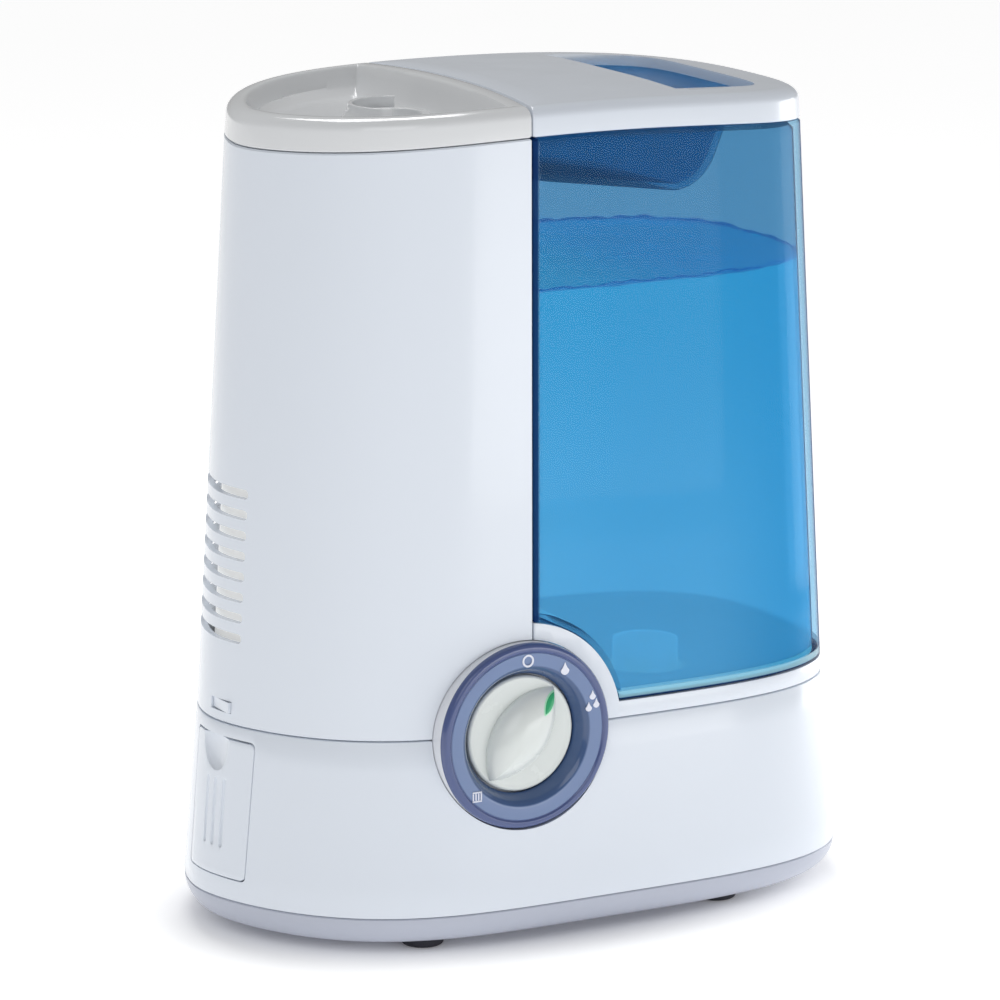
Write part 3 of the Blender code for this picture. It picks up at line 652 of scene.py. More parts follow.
def to_object(name: str, bm: bmesh.types.BMesh) -> bpy.types.Object:
    """Makes an object of a bmesh, with its doubles merged and its faces outwards.

    Args:
        name: the object's name.
        bm: the shape, which is freed.

    Returns:
        The object, linked to the scene.
    """
    bmesh.ops.remove_doubles(bm, verts=bm.verts[:], dist=0.000002)
    bmesh.ops.recalc_face_normals(bm, faces=bm.faces[:])
    mesh = bpy.data.meshes.new(name)
    bm.to_mesh(mesh)
    bm.free()
    made = bpy.data.objects.new(name, mesh)
    bpy.context.scene.collection.objects.link(made)
    return made


def settle(piece: bpy.types.Object) -> bpy.types.Object:
    """Applies a piece's modifiers.

    Args:
        piece: the object to settle.

    Returns:
        The same object, whose mesh is what its modifiers made of it.
    """
    graph = bpy.context.evaluated_depsgraph_get()
    settled = bpy.data.meshes.new_from_object(piece.evaluated_get(graph))
    settled.name = piece.name
    piece.modifiers.clear()
    piece.data = settled
    return piece


def combine(piece: bpy.types.Object, operation: str, *tools: bpy.types.Object) -> bpy.types.Object:
    """Cuts, joins or keeps the tools' shapes, and removes the tools.

    Args:
        piece: the object that is changed.
        operation: DIFFERENCE, UNION or INTERSECT.
        tools: the shapes that it is combined with, in order.

    Returns:
        The piece.
    """
    for tool in tools:
        modifier = piece.modifiers.new(operation.lower(), "BOOLEAN")
        modifier.operation = operation
        modifier.object = tool
    settle(piece)
    for tool in tools:
        bpy.data.objects.remove(tool)
    return piece


def soften(piece: bpy.types.Object, width: float, segments: int = 2, angle: float = 40.0) -> None:
    """Rounds a piece's sharp edges.

    Args:
        piece: the object to round.
        width: how far the rounding reaches.
        segments: faces across it.
        angle: edges sharper than this are rounded.
    """
    bevel = piece.modifiers.new("round", "BEVEL")
    bevel.width = width
    bevel.segments = segments
    bevel.limit_method = "ANGLE"
    bevel.angle_limit = math.radians(angle)
    bevel.use_clamp_overlap = True
    settle(piece)


def shade(piece: bpy.types.Object, angle: float = 32.0) -> None:
    """Smooth shading, sharp past the angle."""
    piece.data.shade_smooth()
    piece.data.set_sharp_from_angle(angle=math.radians(angle))


def hand_over(
    piece: bpy.types.Object,
    body: str,
    finish: Finish,
    nodes: Sequence[str] = (),
    angle: float = 32.0,
) -> bpy.types.Object:
    """Shades and dresses a piece, puts it on its body and hides what it stands for.

    Args:
        piece: the finished mesh, in its place.
        body: the body that it moves with.
        finish: what it wears.
        nodes: the CAD nodes that it replaces.
        angle: edges sharper than this stay sharp.

    Returns:
        The piece.
    """
    shade(piece, angle)
    WARDROBE.wear(piece, finish)
    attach(piece, body)
    if nodes:
        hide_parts(*nodes)
    LOG.info("%s: %d faces on %s", piece.name, len(piece.data.polygons), body)
    return piece


def block(name: str, low: Vector, high: Vector, round_by: float = 0.0) -> bpy.types.Object:
    """A box between two corners.

    Args:
        name: the object's name.
        low: the corner with the lowest coordinates.
        high: the corner with the highest.
        round_by: radius of its edges.

    Returns:
        The solid.
    """
    bm = bmesh.new()
    bmesh.ops.create_cube(bm, size=1.0)
    bmesh.ops.scale(bm, vec=Vector(high) - Vector(low), verts=bm.verts)
    bmesh.ops.translate(bm, vec=(Vector(low) + Vector(high)) / 2, verts=bm.verts)
    if round_by:
        bmesh.ops.bevel(
            bm,
            geom=bm.edges[:],
            offset=round_by,
            affect="EDGES",
            segments=4,
            profile=0.5,
            material=-1,
        )
    return to_object(name, bm)


def drum(name: str, start: Vector, end: Vector, radius: float, steps: int = 96) -> bpy.types.Object:
    """A cylinder from one point to another.

    Args:
        name: the object's name.
        start: middle of one end.
        end: middle of the other.
        radius: its radius.
        steps: sides of the round.

    Returns:
        The solid.
    """
    start, end = Vector(start), Vector(end)
    along = end - start
    bm = bmesh.new()
    bmesh.ops.create_cone(
        bm, cap_ends=True, segments=steps, radius1=radius, radius2=radius, depth=along.length
    )
    turn = Vector((0, 0, 1)).rotation_difference(along).to_matrix().to_4x4()
    bmesh.ops.transform(bm, matrix=Matrix.Translation((start + end) / 2) @ turn, verts=bm.verts)
    return to_object(name, bm)


def post(
    name: str, at: Vector, low: float, high: float, radius: float, steps: int = 96
) -> bpy.types.Object:
    """An upright cylinder.

    Args:
        name: the object's name.
        at: a point that its axis passes through.
        low: height of its foot.
        high: height of its top.
        radius: its radius.
        steps: sides of the round.

    Returns:
        The solid.
    """
    return drum(name, (*at.xy, low), (*at.xy, high), radius, steps)


def egg(name: str, place: Matrix, radii: Sequence[float], fine: int = 48) -> bpy.types.Object:
    """An ellipsoid.

    Args:
        name: the object's name.
        place: where it lies and how it is turned.
        radii: its half axes.
        fine: sides of the round.

    Returns:
        The solid.
    """
    bm = bmesh.new()
    bmesh.ops.create_uvsphere(bm, u_segments=fine, v_segments=fine // 2, radius=1.0)
    matrix = place @ Matrix.Diagonal((*radii, 1.0))
    bmesh.ops.transform(bm, matrix=matrix, verts=bm.verts)
    return to_object(name, bm)


def rounded_profile(corners: Sequence[tuple[float, float, float]], steps: int = 4) -> list[Point]:
    """Rounds a closed profile's corners.

    Args:
        corners: (across, up, radius) of each corner, in order.
        steps: points along each rounded corner.

    Returns:
        The profile's points.
    """
    points: list[Point] = []
    count = len(corners)
    for i, (across, up, radius) in enumerate(corners):
        here = Vector((across, up))
        before = Vector(corners[i - 1][:2]) - here
        after = Vector(corners[(i + 1) % count][:2]) - here
        if radius <= 0 or across <= 0:
            points.append((across, up))
            continue
        reach = min(radius, before.length * 0.48, after.length * 0.48)
        first, last = here + before.normalized() * reach, here + after.normalized() * reach
        for step in range(steps + 1):
            t = step / steps
            point = first * (1 - t) ** 2 + here * 2 * t * (1 - t) + last * t**2
            points.append((point.x, point.y))
    return points


def lathe(
    name: str, profile: Sequence[Point], centre: Vector, forward: bool = False, steps: int = 96
) -> bpy.types.Object:
    """Spins a closed profile of (radius, height) about an upright axis, or about one to the front.

    Args:
        name: the object's name.
        profile: points round the section. One that touches the axis closes there.
        centre: where radius and height are 0.
        forward: heights point to -Y instead of up.
        steps: sides of the round.

    Returns:
        The solid.
    """
    bm = bmesh.new()
    verts = [bm.verts.new((radius, 0.0, height)) for radius, height in profile]
    pairs = list(zip(verts, verts[1:]))
    if not (profile[0][0] <= 0 and profile[-1][0] <= 0):
        pairs.append((verts[-1], verts[0]))
    edges = [bm.edges.new(pair) for pair in pairs]
    bmesh.ops.spin(
        bm,
        geom=verts + edges,
        cent=(0, 0, 0),
        axis=(0, 0, 1),
        angle=2 * math.pi,
        steps=steps,
        use_merge=True,
    )
    turn = Matrix.Rotation(math.radians(90), 4, "X") if forward else Matrix.Identity(4)
    bmesh.ops.transform(bm, matrix=Matrix.Translation(centre) @ turn, verts=bm.verts)
    return to_object(name, bm)


# ---- The casing's oval -----------------------------------------------------------------------


class Side(Enum):
    """Which part of the oval a loop follows."""

    WHOLE = 0
    TOWER = -1
    TANK = 1


@dataclass(frozen=True)
class Level:
    """One loop of a casing piece.

    It lies at a height `z` that falls by `crown` times x squared, or, if `drop` is given, that
    far below the domed top. It stands `inset` inside the oval and `back` off the split.
    """

    inset: float
    z: float = 0.0
    crown: float = 0.0
    drop: Optional[float] = None
    back: Optional[float] = None


@dataclass
class Casing:
    """The oval that tapers from the pan to the top, with the split between tower and tank."""

    seam_gap: float = 0.0005
    wall: float = 0.0025
    dome: float = 0.0018
    cap_crown: float = 0.50
    top_crown: float = 0.40
    side_power: float = 3.9
    left_power: float = 1.43
    right_power: float = 2.85
    softness: float = 0.15
    corner: float = 0.0007
    rim_inset: float = 0.0055
    oval_points: int = 150
    split_points: int = 36
    dense: int = 2880
    pan_z: float = field(init=False)
    seam_z: float = field(init=False)
    cap_z: float = field(init=False)
    top_z: float = field(init=False)
    line: SplitLine = field(init=False)

    def __post_init__(self) -> None:
        """Reads the heights and half sizes from the frame's boxes."""
        half_gap = self.seam_gap / 2
        pan_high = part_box("base_pan")[1]
        housing_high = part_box("base_housing")[1]
        tower_low, tower_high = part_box("tower_shell")
        cap_low, cap_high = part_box("tank_top")
        self.pan_z = pan_high.z + half_gap
        self.seam_z = housing_high.z + half_gap
        self.cap_z = tower_high.z + half_gap
        self.top_z = cap_high.z - 0.91 * self.dome
        self.pan_half = (housing_high.x, housing_high.y)
        self.seam_half = (-tower_low.x, -tower_low.y)
        self.cap_half = (cap_high.x, cap_high.y)
        split_at = cap_low.x - half_gap
        self.line = SplitLine(split_at, 0.0050, self.cap_half[1])
        angles = np.linspace(0.0, 2 * math.pi, self.dense, endpoint=False)
        across, deep = np.cos(angles), np.sin(angles)
        self.u = np.sign(across) * np.abs(across) ** (2 / self.side_power)
        power, soft, whole = self._powers(across)
        reach = (deep**2 * whole + soft) ** (2 / power) - self.softness**2
        self.v = np.sign(deep) * np.sqrt(np.maximum(reach, 0.0))

    def _powers(self, x: np.ndarray) -> tuple[np.ndarray, np.ndarray, np.ndarray]:
        """How the oval closes towards each end.

        Args:
            x: where it is asked for, along the casing.

        Returns:
            Its power, what softens it and its full reach.
        """
        power = np.where(x > 0, self.right_power, self.left_power)
        soft = self.softness**power
        return power, soft, (1 + self.softness**2) ** (power / 2) - soft

    def half(self, z: float) -> np.ndarray:
        """Half size of the oval.

        Args:
            z: the height.

        Returns:
            Half length and half depth there.
        """
        low_z, high_z = self.pan_z, self.seam_z
        low, high = self.pan_half, self.seam_half
        if z > self.seam_z:
            low_z, high_z = self.seam_z, self.cap_z
            low, high = self.seam_half, self.cap_half
        share = max(z - low_z, 0.0) / (high_z - low_z)
        return np.array(low) + (np.array(high) - np.array(low)) * share

    def top(self, x: np.ndarray, y: np.ndarray) -> np.ndarray:
        """Height of the domed top.

        Args:
            x: where it is asked for, along the casing.
            y: where it is asked for, across the casing.

        Returns:
            The height at each point, found by halving the spread of the oval through it.
        """
        length, depth = self.half(self.top_z) - self.rim_inset
        low, high = np.full_like(x, 0.001), np.full_like(x, 1.0)
        power, soft, whole = self._powers(x)
        for _ in range(24):
            spread = (low + high) / 2
            u, v = np.abs(x) / length / spread, np.abs(y) / depth / spread
            share = ((v**2 + self.softness**2) ** (power / 2) - soft) / whole
            outside = u**self.side_power + share > 1
            low, high = np.where(outside, spread, low), np.where(outside, high, spread)
        return self.top_z + self.dome * (1 - low**2) - self.top_crown * x**2

    @staticmethod
    def _walk(points: np.ndarray, count: int, trim: float = 0.0) -> np.ndarray:
        """Spaces points evenly along a line.

        Args:
            points: the line.
            count: how many points come back.
            trim: how far inside the line's ends the first and last of them lie.

        Returns:
            The spaced points.
        """
        steps = np.linalg.norm(np.diff(points, axis=0), axis=1)
        walked = np.concatenate([[0.0], np.cumsum(steps)])
        at = np.linspace(trim, walked[-1] - trim, count)
        return np.stack([np.interp(at, walked, points[:, i]) for i in (0, 1)], axis=1)

    def plan(self, side: Side, z: float, inset: float, back: float) -> np.ndarray:
        """A loop seen from above.

        Args:
            side: which part of the oval it follows.
            z: the height that gives the oval its size.
            inset: how far it stands inside the oval.
            back: how far it stands off the split.

        Returns:
            Its (x, y) points, equally many for every level of a side.
        """
        length, depth = self.half(z) - inset
        oval = np.stack([length * self.u, depth * self.v], axis=1)
        if side is Side.WHOLE:
            closed = np.concatenate([oval, oval[:1]])
            return self._walk(closed, self.oval_points + self.split_points + 1)[:-1]
        if side is Side.TANK:
            oval = np.roll(oval, self.dense // 2, axis=0)
        offset = self.seam_gap / 2 + back
        line = np.array([self.line.x(y) for y in oval[:, 1]]) + side.value * offset
        kept = np.flatnonzero(side.value * (oval[:, 0] - line) > 0)
        ends = []
        for inside, outside in ((kept[0], kept[0] - 1), (kept[-1], kept[-1] + 1)):
            a, b = oval[inside], oval[outside]
            over_a, over_b = a[0] - line[inside], b[0] - line[outside]
            ends.append(a + (b - a) * over_a / (over_a - over_b))
        arc = np.vstack([ends[0], oval[kept], ends[1]])
        depths = np.linspace(ends[1][1], ends[0][1], 60)
        split = np.array([(self.line.x(y) + side.value * offset, y) for y in depths])
        trim = self.corner
        arc = self._walk(arc, self.oval_points - 4, trim)
        split = self._walk(split, self.split_points - 4, trim)
        loops = [arc, self._fillet(arc[-1], ends[1], split[0])]
        return np.vstack([*loops, split, self._fillet(split[-1], ends[0], arc[0])])

    @staticmethod
    def _fillet(first: np.ndarray, corner: np.ndarray, last: np.ndarray) -> np.ndarray:
        """Four points round a corner."""
        t = np.array([0.2, 0.4, 0.6, 0.8])[:, None]
        return first * (1 - t) ** 2 + corner * 2 * t * (1 - t) + last * t**2

    def loop(self, side: Side, level: Level) -> list[Vector]:
        """The points of one level.

        Args:
            side: which part of the oval it follows.
            level: where it lies.

        Returns:
            The points, in order.
        """
        back = level.inset if level.back is None else level.back
        plan = self.plan(side, level.z if level.drop is None else self.top_z, level.inset, back)
        x, y = plan[:, 0], plan[:, 1]
        if level.drop is None:
            z = level.z - level.crown * x**2
        else:
            z = self.top(x, y) - level.drop
        return [Vector(p) for p in zip(x, y, z)]

    def loft(
        self, name: str, side: Side, levels: Sequence[Level], closed: bool = False
    ) -> bpy.types.Object:
        """Extrudes a loop through the levels.

        Args:
            name: the object's name.
            side: which part of the oval the loops follow.
            levels: the loops, in order.
            closed: the last level joins the first, else both ends are capped.

        Returns:
            The closed solid.
        """
        points = self.loop(side, levels[0])
        bm = bmesh.new()
        bmesh.ops.create_circle(bm, segments=len(points), radius=1.0, cap_ends=False)
        bm.verts.ensure_lookup_table()
        verts = bm.verts[:]
        for vert, point in zip(verts, points):
            vert.co = point
        edges = first = [bm.edges.get((verts[i - 1], verts[i])) for i in range(len(verts))]
        for level in levels[1:]:
            lifted = bmesh.ops.extrude_edge_only(bm, edges=edges)["geom"]
            fresh = [item for item in lifted if isinstance(item, bmesh.types.BMVert)]
            fresh_set = set(fresh)
            order = []
            for vert in verts:
                order += [
                    edge.other_vert(vert)
                    for edge in vert.link_edges
                    if edge.other_vert(vert) in fresh_set
                ]
            verts = order
            for vert, point in zip(verts, self.loop(side, level)):
                vert.co = point
            edges = [bm.edges.get((verts[i - 1], verts[i])) for i in range(len(verts))]
        if closed:
            bmesh.ops.bridge_loops(bm, edges=first + edges)
        else:
            bmesh.ops.contextual_create(bm, geom=first)
            bmesh.ops.contextual_create(bm, geom=edges)
        return to_object(name, bm)

    def end_x(self, y: float, z: float) -> float:
        """Where the left end of the casing is.

        Args:
            y: the depth.
            z: the height.

        Returns:
            The x of the outer wall.
        """
        length, depth = self.half(z)
        left = self.u < 0
        order = np.argsort(self.v[left])
        return float(np.interp(y, self.v[left][order] * depth, self.u[left][order] * length))


# ---- Sub-assemblies --------------------------------------------------------------------------


@dataclass
class DialPlace:
    """Where the dial is, read from its ring and from the switch housing behind it."""

    ring_lip: float = 0.0006
    notch_gap: float = 0.0003
    band_r: float = 0.0420
    in_front: float = -0.12

    def __post_init__(self) -> None:
        """Reads the frame's boxes."""
        low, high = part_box("dial_ring")
        self.centre = Vector(((low.x + high.x) / 2, low.y + self.ring_lip, (low.z + high.z) / 2))
        self.ring_r = (high.x - low.x) / 2
        self.knob_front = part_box("knob_shaft")[0].y - 0.0013
        self.pod_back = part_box("switch_housing")[1].y

    def cylinder(self, name: str, radius: float, back: float) -> bpy.types.Object:
        """A cutter about the dial's axis, from in front of the casing.

        Args:
            name: the object's name.
            radius: its radius.
            back: the y that it ends at.

        Returns:
            The solid.
        """
        x, _, z = self.centre
        return drum(name, Vector((x, self.in_front, z)), Vector((x, back, z)), radius, 144)

    def notch(self, back: float) -> bpy.types.Object:
        """The space that the ring takes out of the casing."""
        return self.cylinder("dial_notch", self.ring_r + self.notch_gap, back)


@dataclass
class Base:
    """Pan, housing, tank tray and feet."""

    casing: Casing
    dial: DialPlace
    wall_step: float = 0.011
    lip: float = 0.0005
    pan_edge: float = 0.0130
    pan_wall: float = 0.0026
    deck_drop: float = 0.0025
    neck_length: float = 0.0132
    band_rise: float = 0.055
    scoop: Colour = (0.0024, 0.0075, 0.0022)
    gland_r: float = 0.0063
    gland_seat_r: float = 0.0084
    gland_seat_y: float = 0.0765

    def build(self) -> None:
        """Builds every piece of the base that shows."""
        self.pan()
        self.housing()
        self.tray()
        self.feet()

    def pan(self) -> None:
        """Bottom pan with a rounded underside."""
        low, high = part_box("base_pan")[0].z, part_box("base_pan")[1].z
        steps = 14
        levels = []
        for i in range(steps + 1):
            angle = math.pi / 2 * i / steps
            inset = self.pan_edge - (self.pan_edge - 0.0002) * math.sin(angle)
            levels.append(Level(inset, high - 0.0004 - (high - 0.0004 - low) * math.cos(angle)))
        levels += [
            Level(0.0006, high),
            Level(self.casing.wall, high),
            Level(0.0080, low + 0.0040),
            Level(self.pan_edge, low + self.pan_wall),
        ]
        pan = self.casing.loft("base_pan_shell", Side.WHOLE, levels)
        hand_over(pan, "base", PAN_LAVENDER, ["base_pan"])

    def walls(self, low: float, high: float) -> list[Level]:
        """Levels up an outer wall, with both edges rounded.

        Args:
            low: height of its lower edge.
            high: height of its upper edge.

        Returns:
            The levels, from the bottom up.
        """
        count = max(2, round((high - low) / self.wall_step))
        lip = self.lip
        rows = [low + lip + (high - low - 2 * lip) * i / count for i in range(count + 1)]
        start = [Level(lip, low), Level(lip * 0.3, low + lip * 0.3)]
        end = [Level(lip * 0.3, high - lip * 0.3), Level(lip, high)]
        return [*start, *(Level(0.0, z) for z in rows), *end]

    def housing(self) -> None:
        """Lower casing with the deck that carries tower and tank."""
        casing = self.casing
        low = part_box("base_pan")[1].z + casing.seam_gap / 2
        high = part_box("base_housing")[1].z
        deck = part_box("boiler_cup")[1].z - self.deck_drop
        levels = [
            Level(casing.wall, deck - 0.0030),
            Level(casing.wall, low),
            *self.walls(low, high),
            Level(0.0040, high),
            Level(0.0043, deck),
        ]
        housing = casing.loft("housing_shell", Side.WHOLE, levels)
        boiler = middle_of("steam_duct")
        boiler_r = boiler.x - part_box("boiler_cup")[0].x - 0.0014
        basin_low, basin_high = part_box("reservoir_basin")
        door_low, door_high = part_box("scent_door")
        gland = middle_of("cord_gland")
        behind = Vector((gland.x, 0.10, gland.z))
        gap = casing.seam_gap
        reach = Vector((0.03, gap, gap))
        scoop_at = Matrix.Translation((door_low.x, (door_low.y + door_high.y) / 2, door_high.z))
        combine(
            housing,
            "DIFFERENCE",
            self.dial.notch(self.dial.pod_back + 0.0015),
            post("boiler_hole", boiler, 0.06, 0.10, boiler_r),
            block(
                "basin_hole",
                (0.014, basin_low.y + 0.0015, deck - 0.02),
                (basin_high.x - 0.004, basin_high.y - 0.004, 0.1),
                0.004,
            ),
            block(
                "door_hole",
                door_low - reach,
                Vector((-0.110, door_high.y + gap, door_high.z + 0.0008)),
                0.0022,
            ),
            egg("nail_notch", scoop_at, self.scoop),
            drum("gland_hole", (gland.x, 0.05, gland.z), behind, self.gland_r),
            drum("gland_seat", (gland.x, self.gland_seat_y, gland.z), behind, self.gland_seat_r),
        )
        hand_over(housing, "base", SHELL_WHITE, ["base_housing"])

    def tray(self) -> None:
        """Tray under the tank, with the band that rises round the dial."""
        casing = self.casing
        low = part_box("base_housing")[1].z + casing.seam_gap
        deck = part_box("tank_tray")[0].z
        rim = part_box("tank_shell")[0].z + self.neck_length - casing.seam_gap
        top = self.dial.centre.z + self.band_rise
        levels = [
            Level(0.0048, deck),
            Level(0.0048, low),
            *self.walls(low, top),
            Level(0.0040, top),
            Level(0.0040, rim - 0.0010),
            Level(0.0075, deck + 0.0026),
        ]
        tray = casing.loft("tray_shell", Side.TANK, levels)
        above = block("above_rim", (-0.2, -0.2, rim), (0.2, 0.2, top + 0.02))
        combine(above, "DIFFERENCE", self.dial.cylinder("band_edge", self.dial.band_r, -0.04))
        cap_low, cap_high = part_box("tank_cap")
        radius = (cap_high.x - cap_low.x) / 2 + 0.0025
        hole = post("cap_hole", middle_of("tank_cap"), 0.06, 0.12, radius)
        notch = self.dial.notch(self.dial.pod_back + 0.0015)
        combine(tray, "DIFFERENCE", above, notch, hole)
        soften(tray, 0.00035)
        hand_over(tray, "base", SHELL_WHITE, ["tank_tray"])

    def feet(self) -> None:
        """Rubber feet with a rounded tread."""
        for i in range(1, 5):
            low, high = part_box(f"foot_{i}")
            radius = (high.x - low.x) / 2
            profile = rounded_profile(
                [
                    (0, high.z, 0),
                    (radius, high.z, 0.0003),
                    (radius * 0.92, 0.0002, 0.0012),
                    (radius * 0.60, 0.0, 0.0004),
                    (radius * 0.50, 0.0006, 0.0004),
                    (0, 0.0006, 0),
                ]
            )
            foot = lathe(f"foot_pad_{i}", profile, Vector((*middle_of(f"foot_{i}").xy, 0)))
            hand_over(foot, "base", FOOT_RUBBER, [f"foot_{i}"])


@dataclass
class Dial:
    """Ring with its marks, and the knob with its leaf-shaped grip and pointer."""

    place: DialPlace
    knob_r: float = 0.0221
    face_r: float = 0.0268
    rim_r: float = 0.0319
    off_mark: Point = (0.0, 0.0290)
    low_mark: Point = (0.0157, 0.0236)
    high_marks: tuple[Point, ...] = ((0.0276, 0.0122), (0.0260, 0.0078), (0.0292, 0.0089))
    pad_mark: Point = (-0.0212, -0.0204)
    mark_height: float = 0.0004
    grip_length: float = 0.0213
    grip_width: float = 0.0112
    grip_height: float = 0.0078
    grip_turn: float = 39.0

    def build(self) -> None:
        """Builds ring, marks, knob and pointer."""
        self.ring()
        self.marks()
        self.knob()
        self.pointer()

    def ring(self) -> None:
        """Fixed ring, dished towards the knob."""
        rim, inner = self.place.ring_r, self.knob_r + 0.0007
        profile = rounded_profile(
            [
                (inner, -0.0086, 0),
                (inner, -0.0060, 0.0003),
                (self.face_r - 0.0016, -0.0016, 0.0014),
                (self.face_r, -0.0003, 0.0007),
                (self.rim_r - 0.0002, 0.0001, 0.0003),
                (self.rim_r + 0.0002, -0.0003, 0.0002),
                (self.rim_r + 0.0008, 0.0004, 0.0006),
                (rim - 0.0010, 0.0003, 0.0010),
                (rim, -0.0014, 0.0010),
                (rim, -0.0086, 0),
            ],
            6,
        )
        ring = lathe("dial_surround", profile, self.place.centre, forward=True, steps=180)
        plastic = DialPlastic(
            "dial_violet",
            self.place.centre,
            self.face_r,
            self.rim_r,
            # Painted shade in the throat and a painted highlight on the face.
            shaded_throat=(0.035, 0.085, 0.21),
            face=(0.155, 0.235, 0.43),
            rim=(0.060, 0.090, 0.24),
            side=(0.78, 0.80, 0.85),
        )
        hand_over(ring, "base", plastic, ["dial_ring"], 50.0)

    def drop(self, name: str, size: float, across: float, up: float) -> bpy.types.Object:
        """A flat drop mark, point up.

        Args:
            name: the object's name.
            size: radius of its round end.
            across: where it lies, to the right of the dial's centre.
            up: where it lies, above the dial's centre.

        Returns:
            The mark.
        """
        bm = bmesh.new()
        bmesh.ops.create_circle(bm, segments=28, radius=1.0, cap_ends=True)
        for vert in bm.verts:
            angle = math.atan2(vert.co.y, vert.co.x)
            taper = max(0.0, math.sin(angle))
            width = math.cos(angle) * (1 - 0.72 * taper**1.2)
            height = math.sin(angle) * (1 + 0.75 * taper**3)
            vert.co = Vector((width, height, 0)) * size
        lifted = bmesh.ops.extrude_face_region(bm, geom=bm.faces[:])["geom"]
        top = [item for item in lifted if isinstance(item, bmesh.types.BMVert)]
        bmesh.ops.translate(bm, vec=(0, 0, self.mark_height), verts=top)
        return self.lay(name, bm, across, up)

    def lay(self, name: str, bm: bmesh.types.BMesh, across: float, up: float) -> bpy.types.Object:
        """Puts a flat mark, made face up, on the ring's face.

        Args:
            name: the object's name.
            bm: the mark.
            across: where it lies, to the right of the dial's centre.
            up: where it lies, above the dial's centre.

        Returns:
            The mark, dressed.
        """
        front = self.place.centre + Vector((across, 0.00012, up))
        matrix = Matrix.Translation(front) @ Matrix.Rotation(math.radians(90), 4, "X")
        bmesh.ops.transform(bm, matrix=matrix, verts=bm.verts)
        mark = to_object(name, bm)
        return hand_over(mark, "base", MARK_WHITE)

    def marks(self) -> None:
        """Off ring, one drop, three drops and a plain pad sign."""
        bm = bmesh.new()
        thick = self.mark_height
        corners = [(0.0017, 0.0), (0.0024, 0.0), (0.0024, thick), (0.0017, thick)]
        verts = [bm.verts.new((radius, 0, height)) for radius, height in corners]
        edges = [bm.edges.new((verts[i - 1], verts[i])) for i in range(4)]
        bmesh.ops.spin(
            bm,
            geom=verts + edges,
            cent=(0, 0, 0),
            axis=(0, 0, 1),
            angle=2 * math.pi,
            steps=40,
            use_merge=True,
        )
        self.lay("mark_off", bm, *self.off_mark)
        self.drop("mark_low", 0.00175, *self.low_mark)
        for i, place in enumerate(self.high_marks):
            self.drop(f"mark_high_{i + 1}", 0.00130, *place)
        for i, y in enumerate((-0.0017, 0.0017)):
            self.bar(f"mark_pad_edge_{i + 1}", (0.0038, 0.0005), (0, y))
        for i in range(4):
            self.bar(f"mark_pad_bar_{i + 1}", (0.0005, 0.0026), (-0.0017 + i * 0.00113, 0))

    def bar(self, name: str, size: Point, shift: Point) -> None:
        """One flat bar of the pad sign.

        Args:
            name: the object's name.
            size: its width and height.
            shift: where its middle lies from the sign's.
        """
        bm = bmesh.new()
        bmesh.ops.create_cube(bm, size=1.0)
        bmesh.ops.scale(bm, vec=(*size, self.mark_height), verts=bm.verts)
        bmesh.ops.translate(bm, vec=(*shift, self.mark_height / 2), verts=bm.verts)
        self.lay(name, bm, *self.pad_mark)

    def rise(self, along: float, over: float) -> float:
        """How high the grip stands.

        Args:
            along: distance from the knob's middle, along the grip.
            over: distance from the grip's ridge.

        Returns:
            The height above the knob's face there.
        """
        length, width = self.grip_length, self.grip_width
        radius = (length**2 + width**2) / (2 * width)
        offset, square = radius - width, length**2
        flat = along**2 + over**2
        reach = abs(over) * offset
        spread = (reach + math.sqrt(reach**2 + square * flat)) / square
        return self.grip_height * max(0.0, 1 - min(spread, 1.0) ** 2.4) ** 0.62

    def to_knob(self) -> Matrix:
        """Finds the grip's place on the dial.

        Returns:
            The transform from its plan (across, along, height).
        """
        at = Matrix.Translation((self.place.centre.x, self.place.knob_front, self.place.centre.z))
        turn = Matrix.Rotation(math.radians(self.grip_turn), 4, "Y")
        return at @ turn @ Matrix.Rotation(math.radians(90), 4, "X")

    def leaf(
        self,
        name: str,
        length: float,
        width: float,
        along: float,
        sink: float,
        lift: float,
        rings: int = 22,
    ) -> bpy.types.Object:
        """A pointed oval on the knob whose top follows the grip.

        Args:
            name: the object's name.
            length: half length.
            width: half width.
            along: how far its middle is from the knob's, towards the tip.
            sink: depth of its flat back below the knob's face.
            lift: how far its top stands above the grip.
            rings: loops from edge to middle.

        Returns:
            The solid.
        """
        bm = bmesh.new()
        count = 72
        bmesh.ops.create_circle(bm, segments=count, radius=1.0, cap_ends=True)
        bm.verts.ensure_lookup_table()
        radius = (length**2 + width**2) / (2 * width)
        edge = []
        for vert in bm.verts:
            x = vert.co.x * length
            y = math.copysign(math.sqrt(radius**2 - x**2) - (radius - width), vert.co.y)
            edge.append(Vector((y, x, 0)))
            vert.co = (y, x + along, -sink)
        face = bm.faces[:]
        for i in range(rings):
            spread = 1 - (i / rings) ** 1.4 if rings > 1 else 1.0
            lifted = bmesh.ops.extrude_discrete_faces(bm, faces=face)["faces"]
            for vert in lifted[0].verts:
                here = self._plan(vert, along, i, rings)
                plan = min(edge, key=lambda place: (place.xy * 1e3 - here).length) * spread
                height = self.rise(plan.y + along, plan.x) + lift
                vert.co = (plan.x, plan.y + along, height)
            face = lifted
        bmesh.ops.transform(bm, matrix=self.to_knob(), verts=bm.verts)
        return to_object(name, bm)

    @staticmethod
    def _plan(vert: Any, along: float, i: int, rings: int) -> Vector:
        """A leaf vertex's plan at full spread, in millimetres."""
        before = 1.0 if i == 0 else 1 - ((i - 1) / rings) ** 1.4
        return Vector((vert.co.x, vert.co.y - along)) / before * 1e3

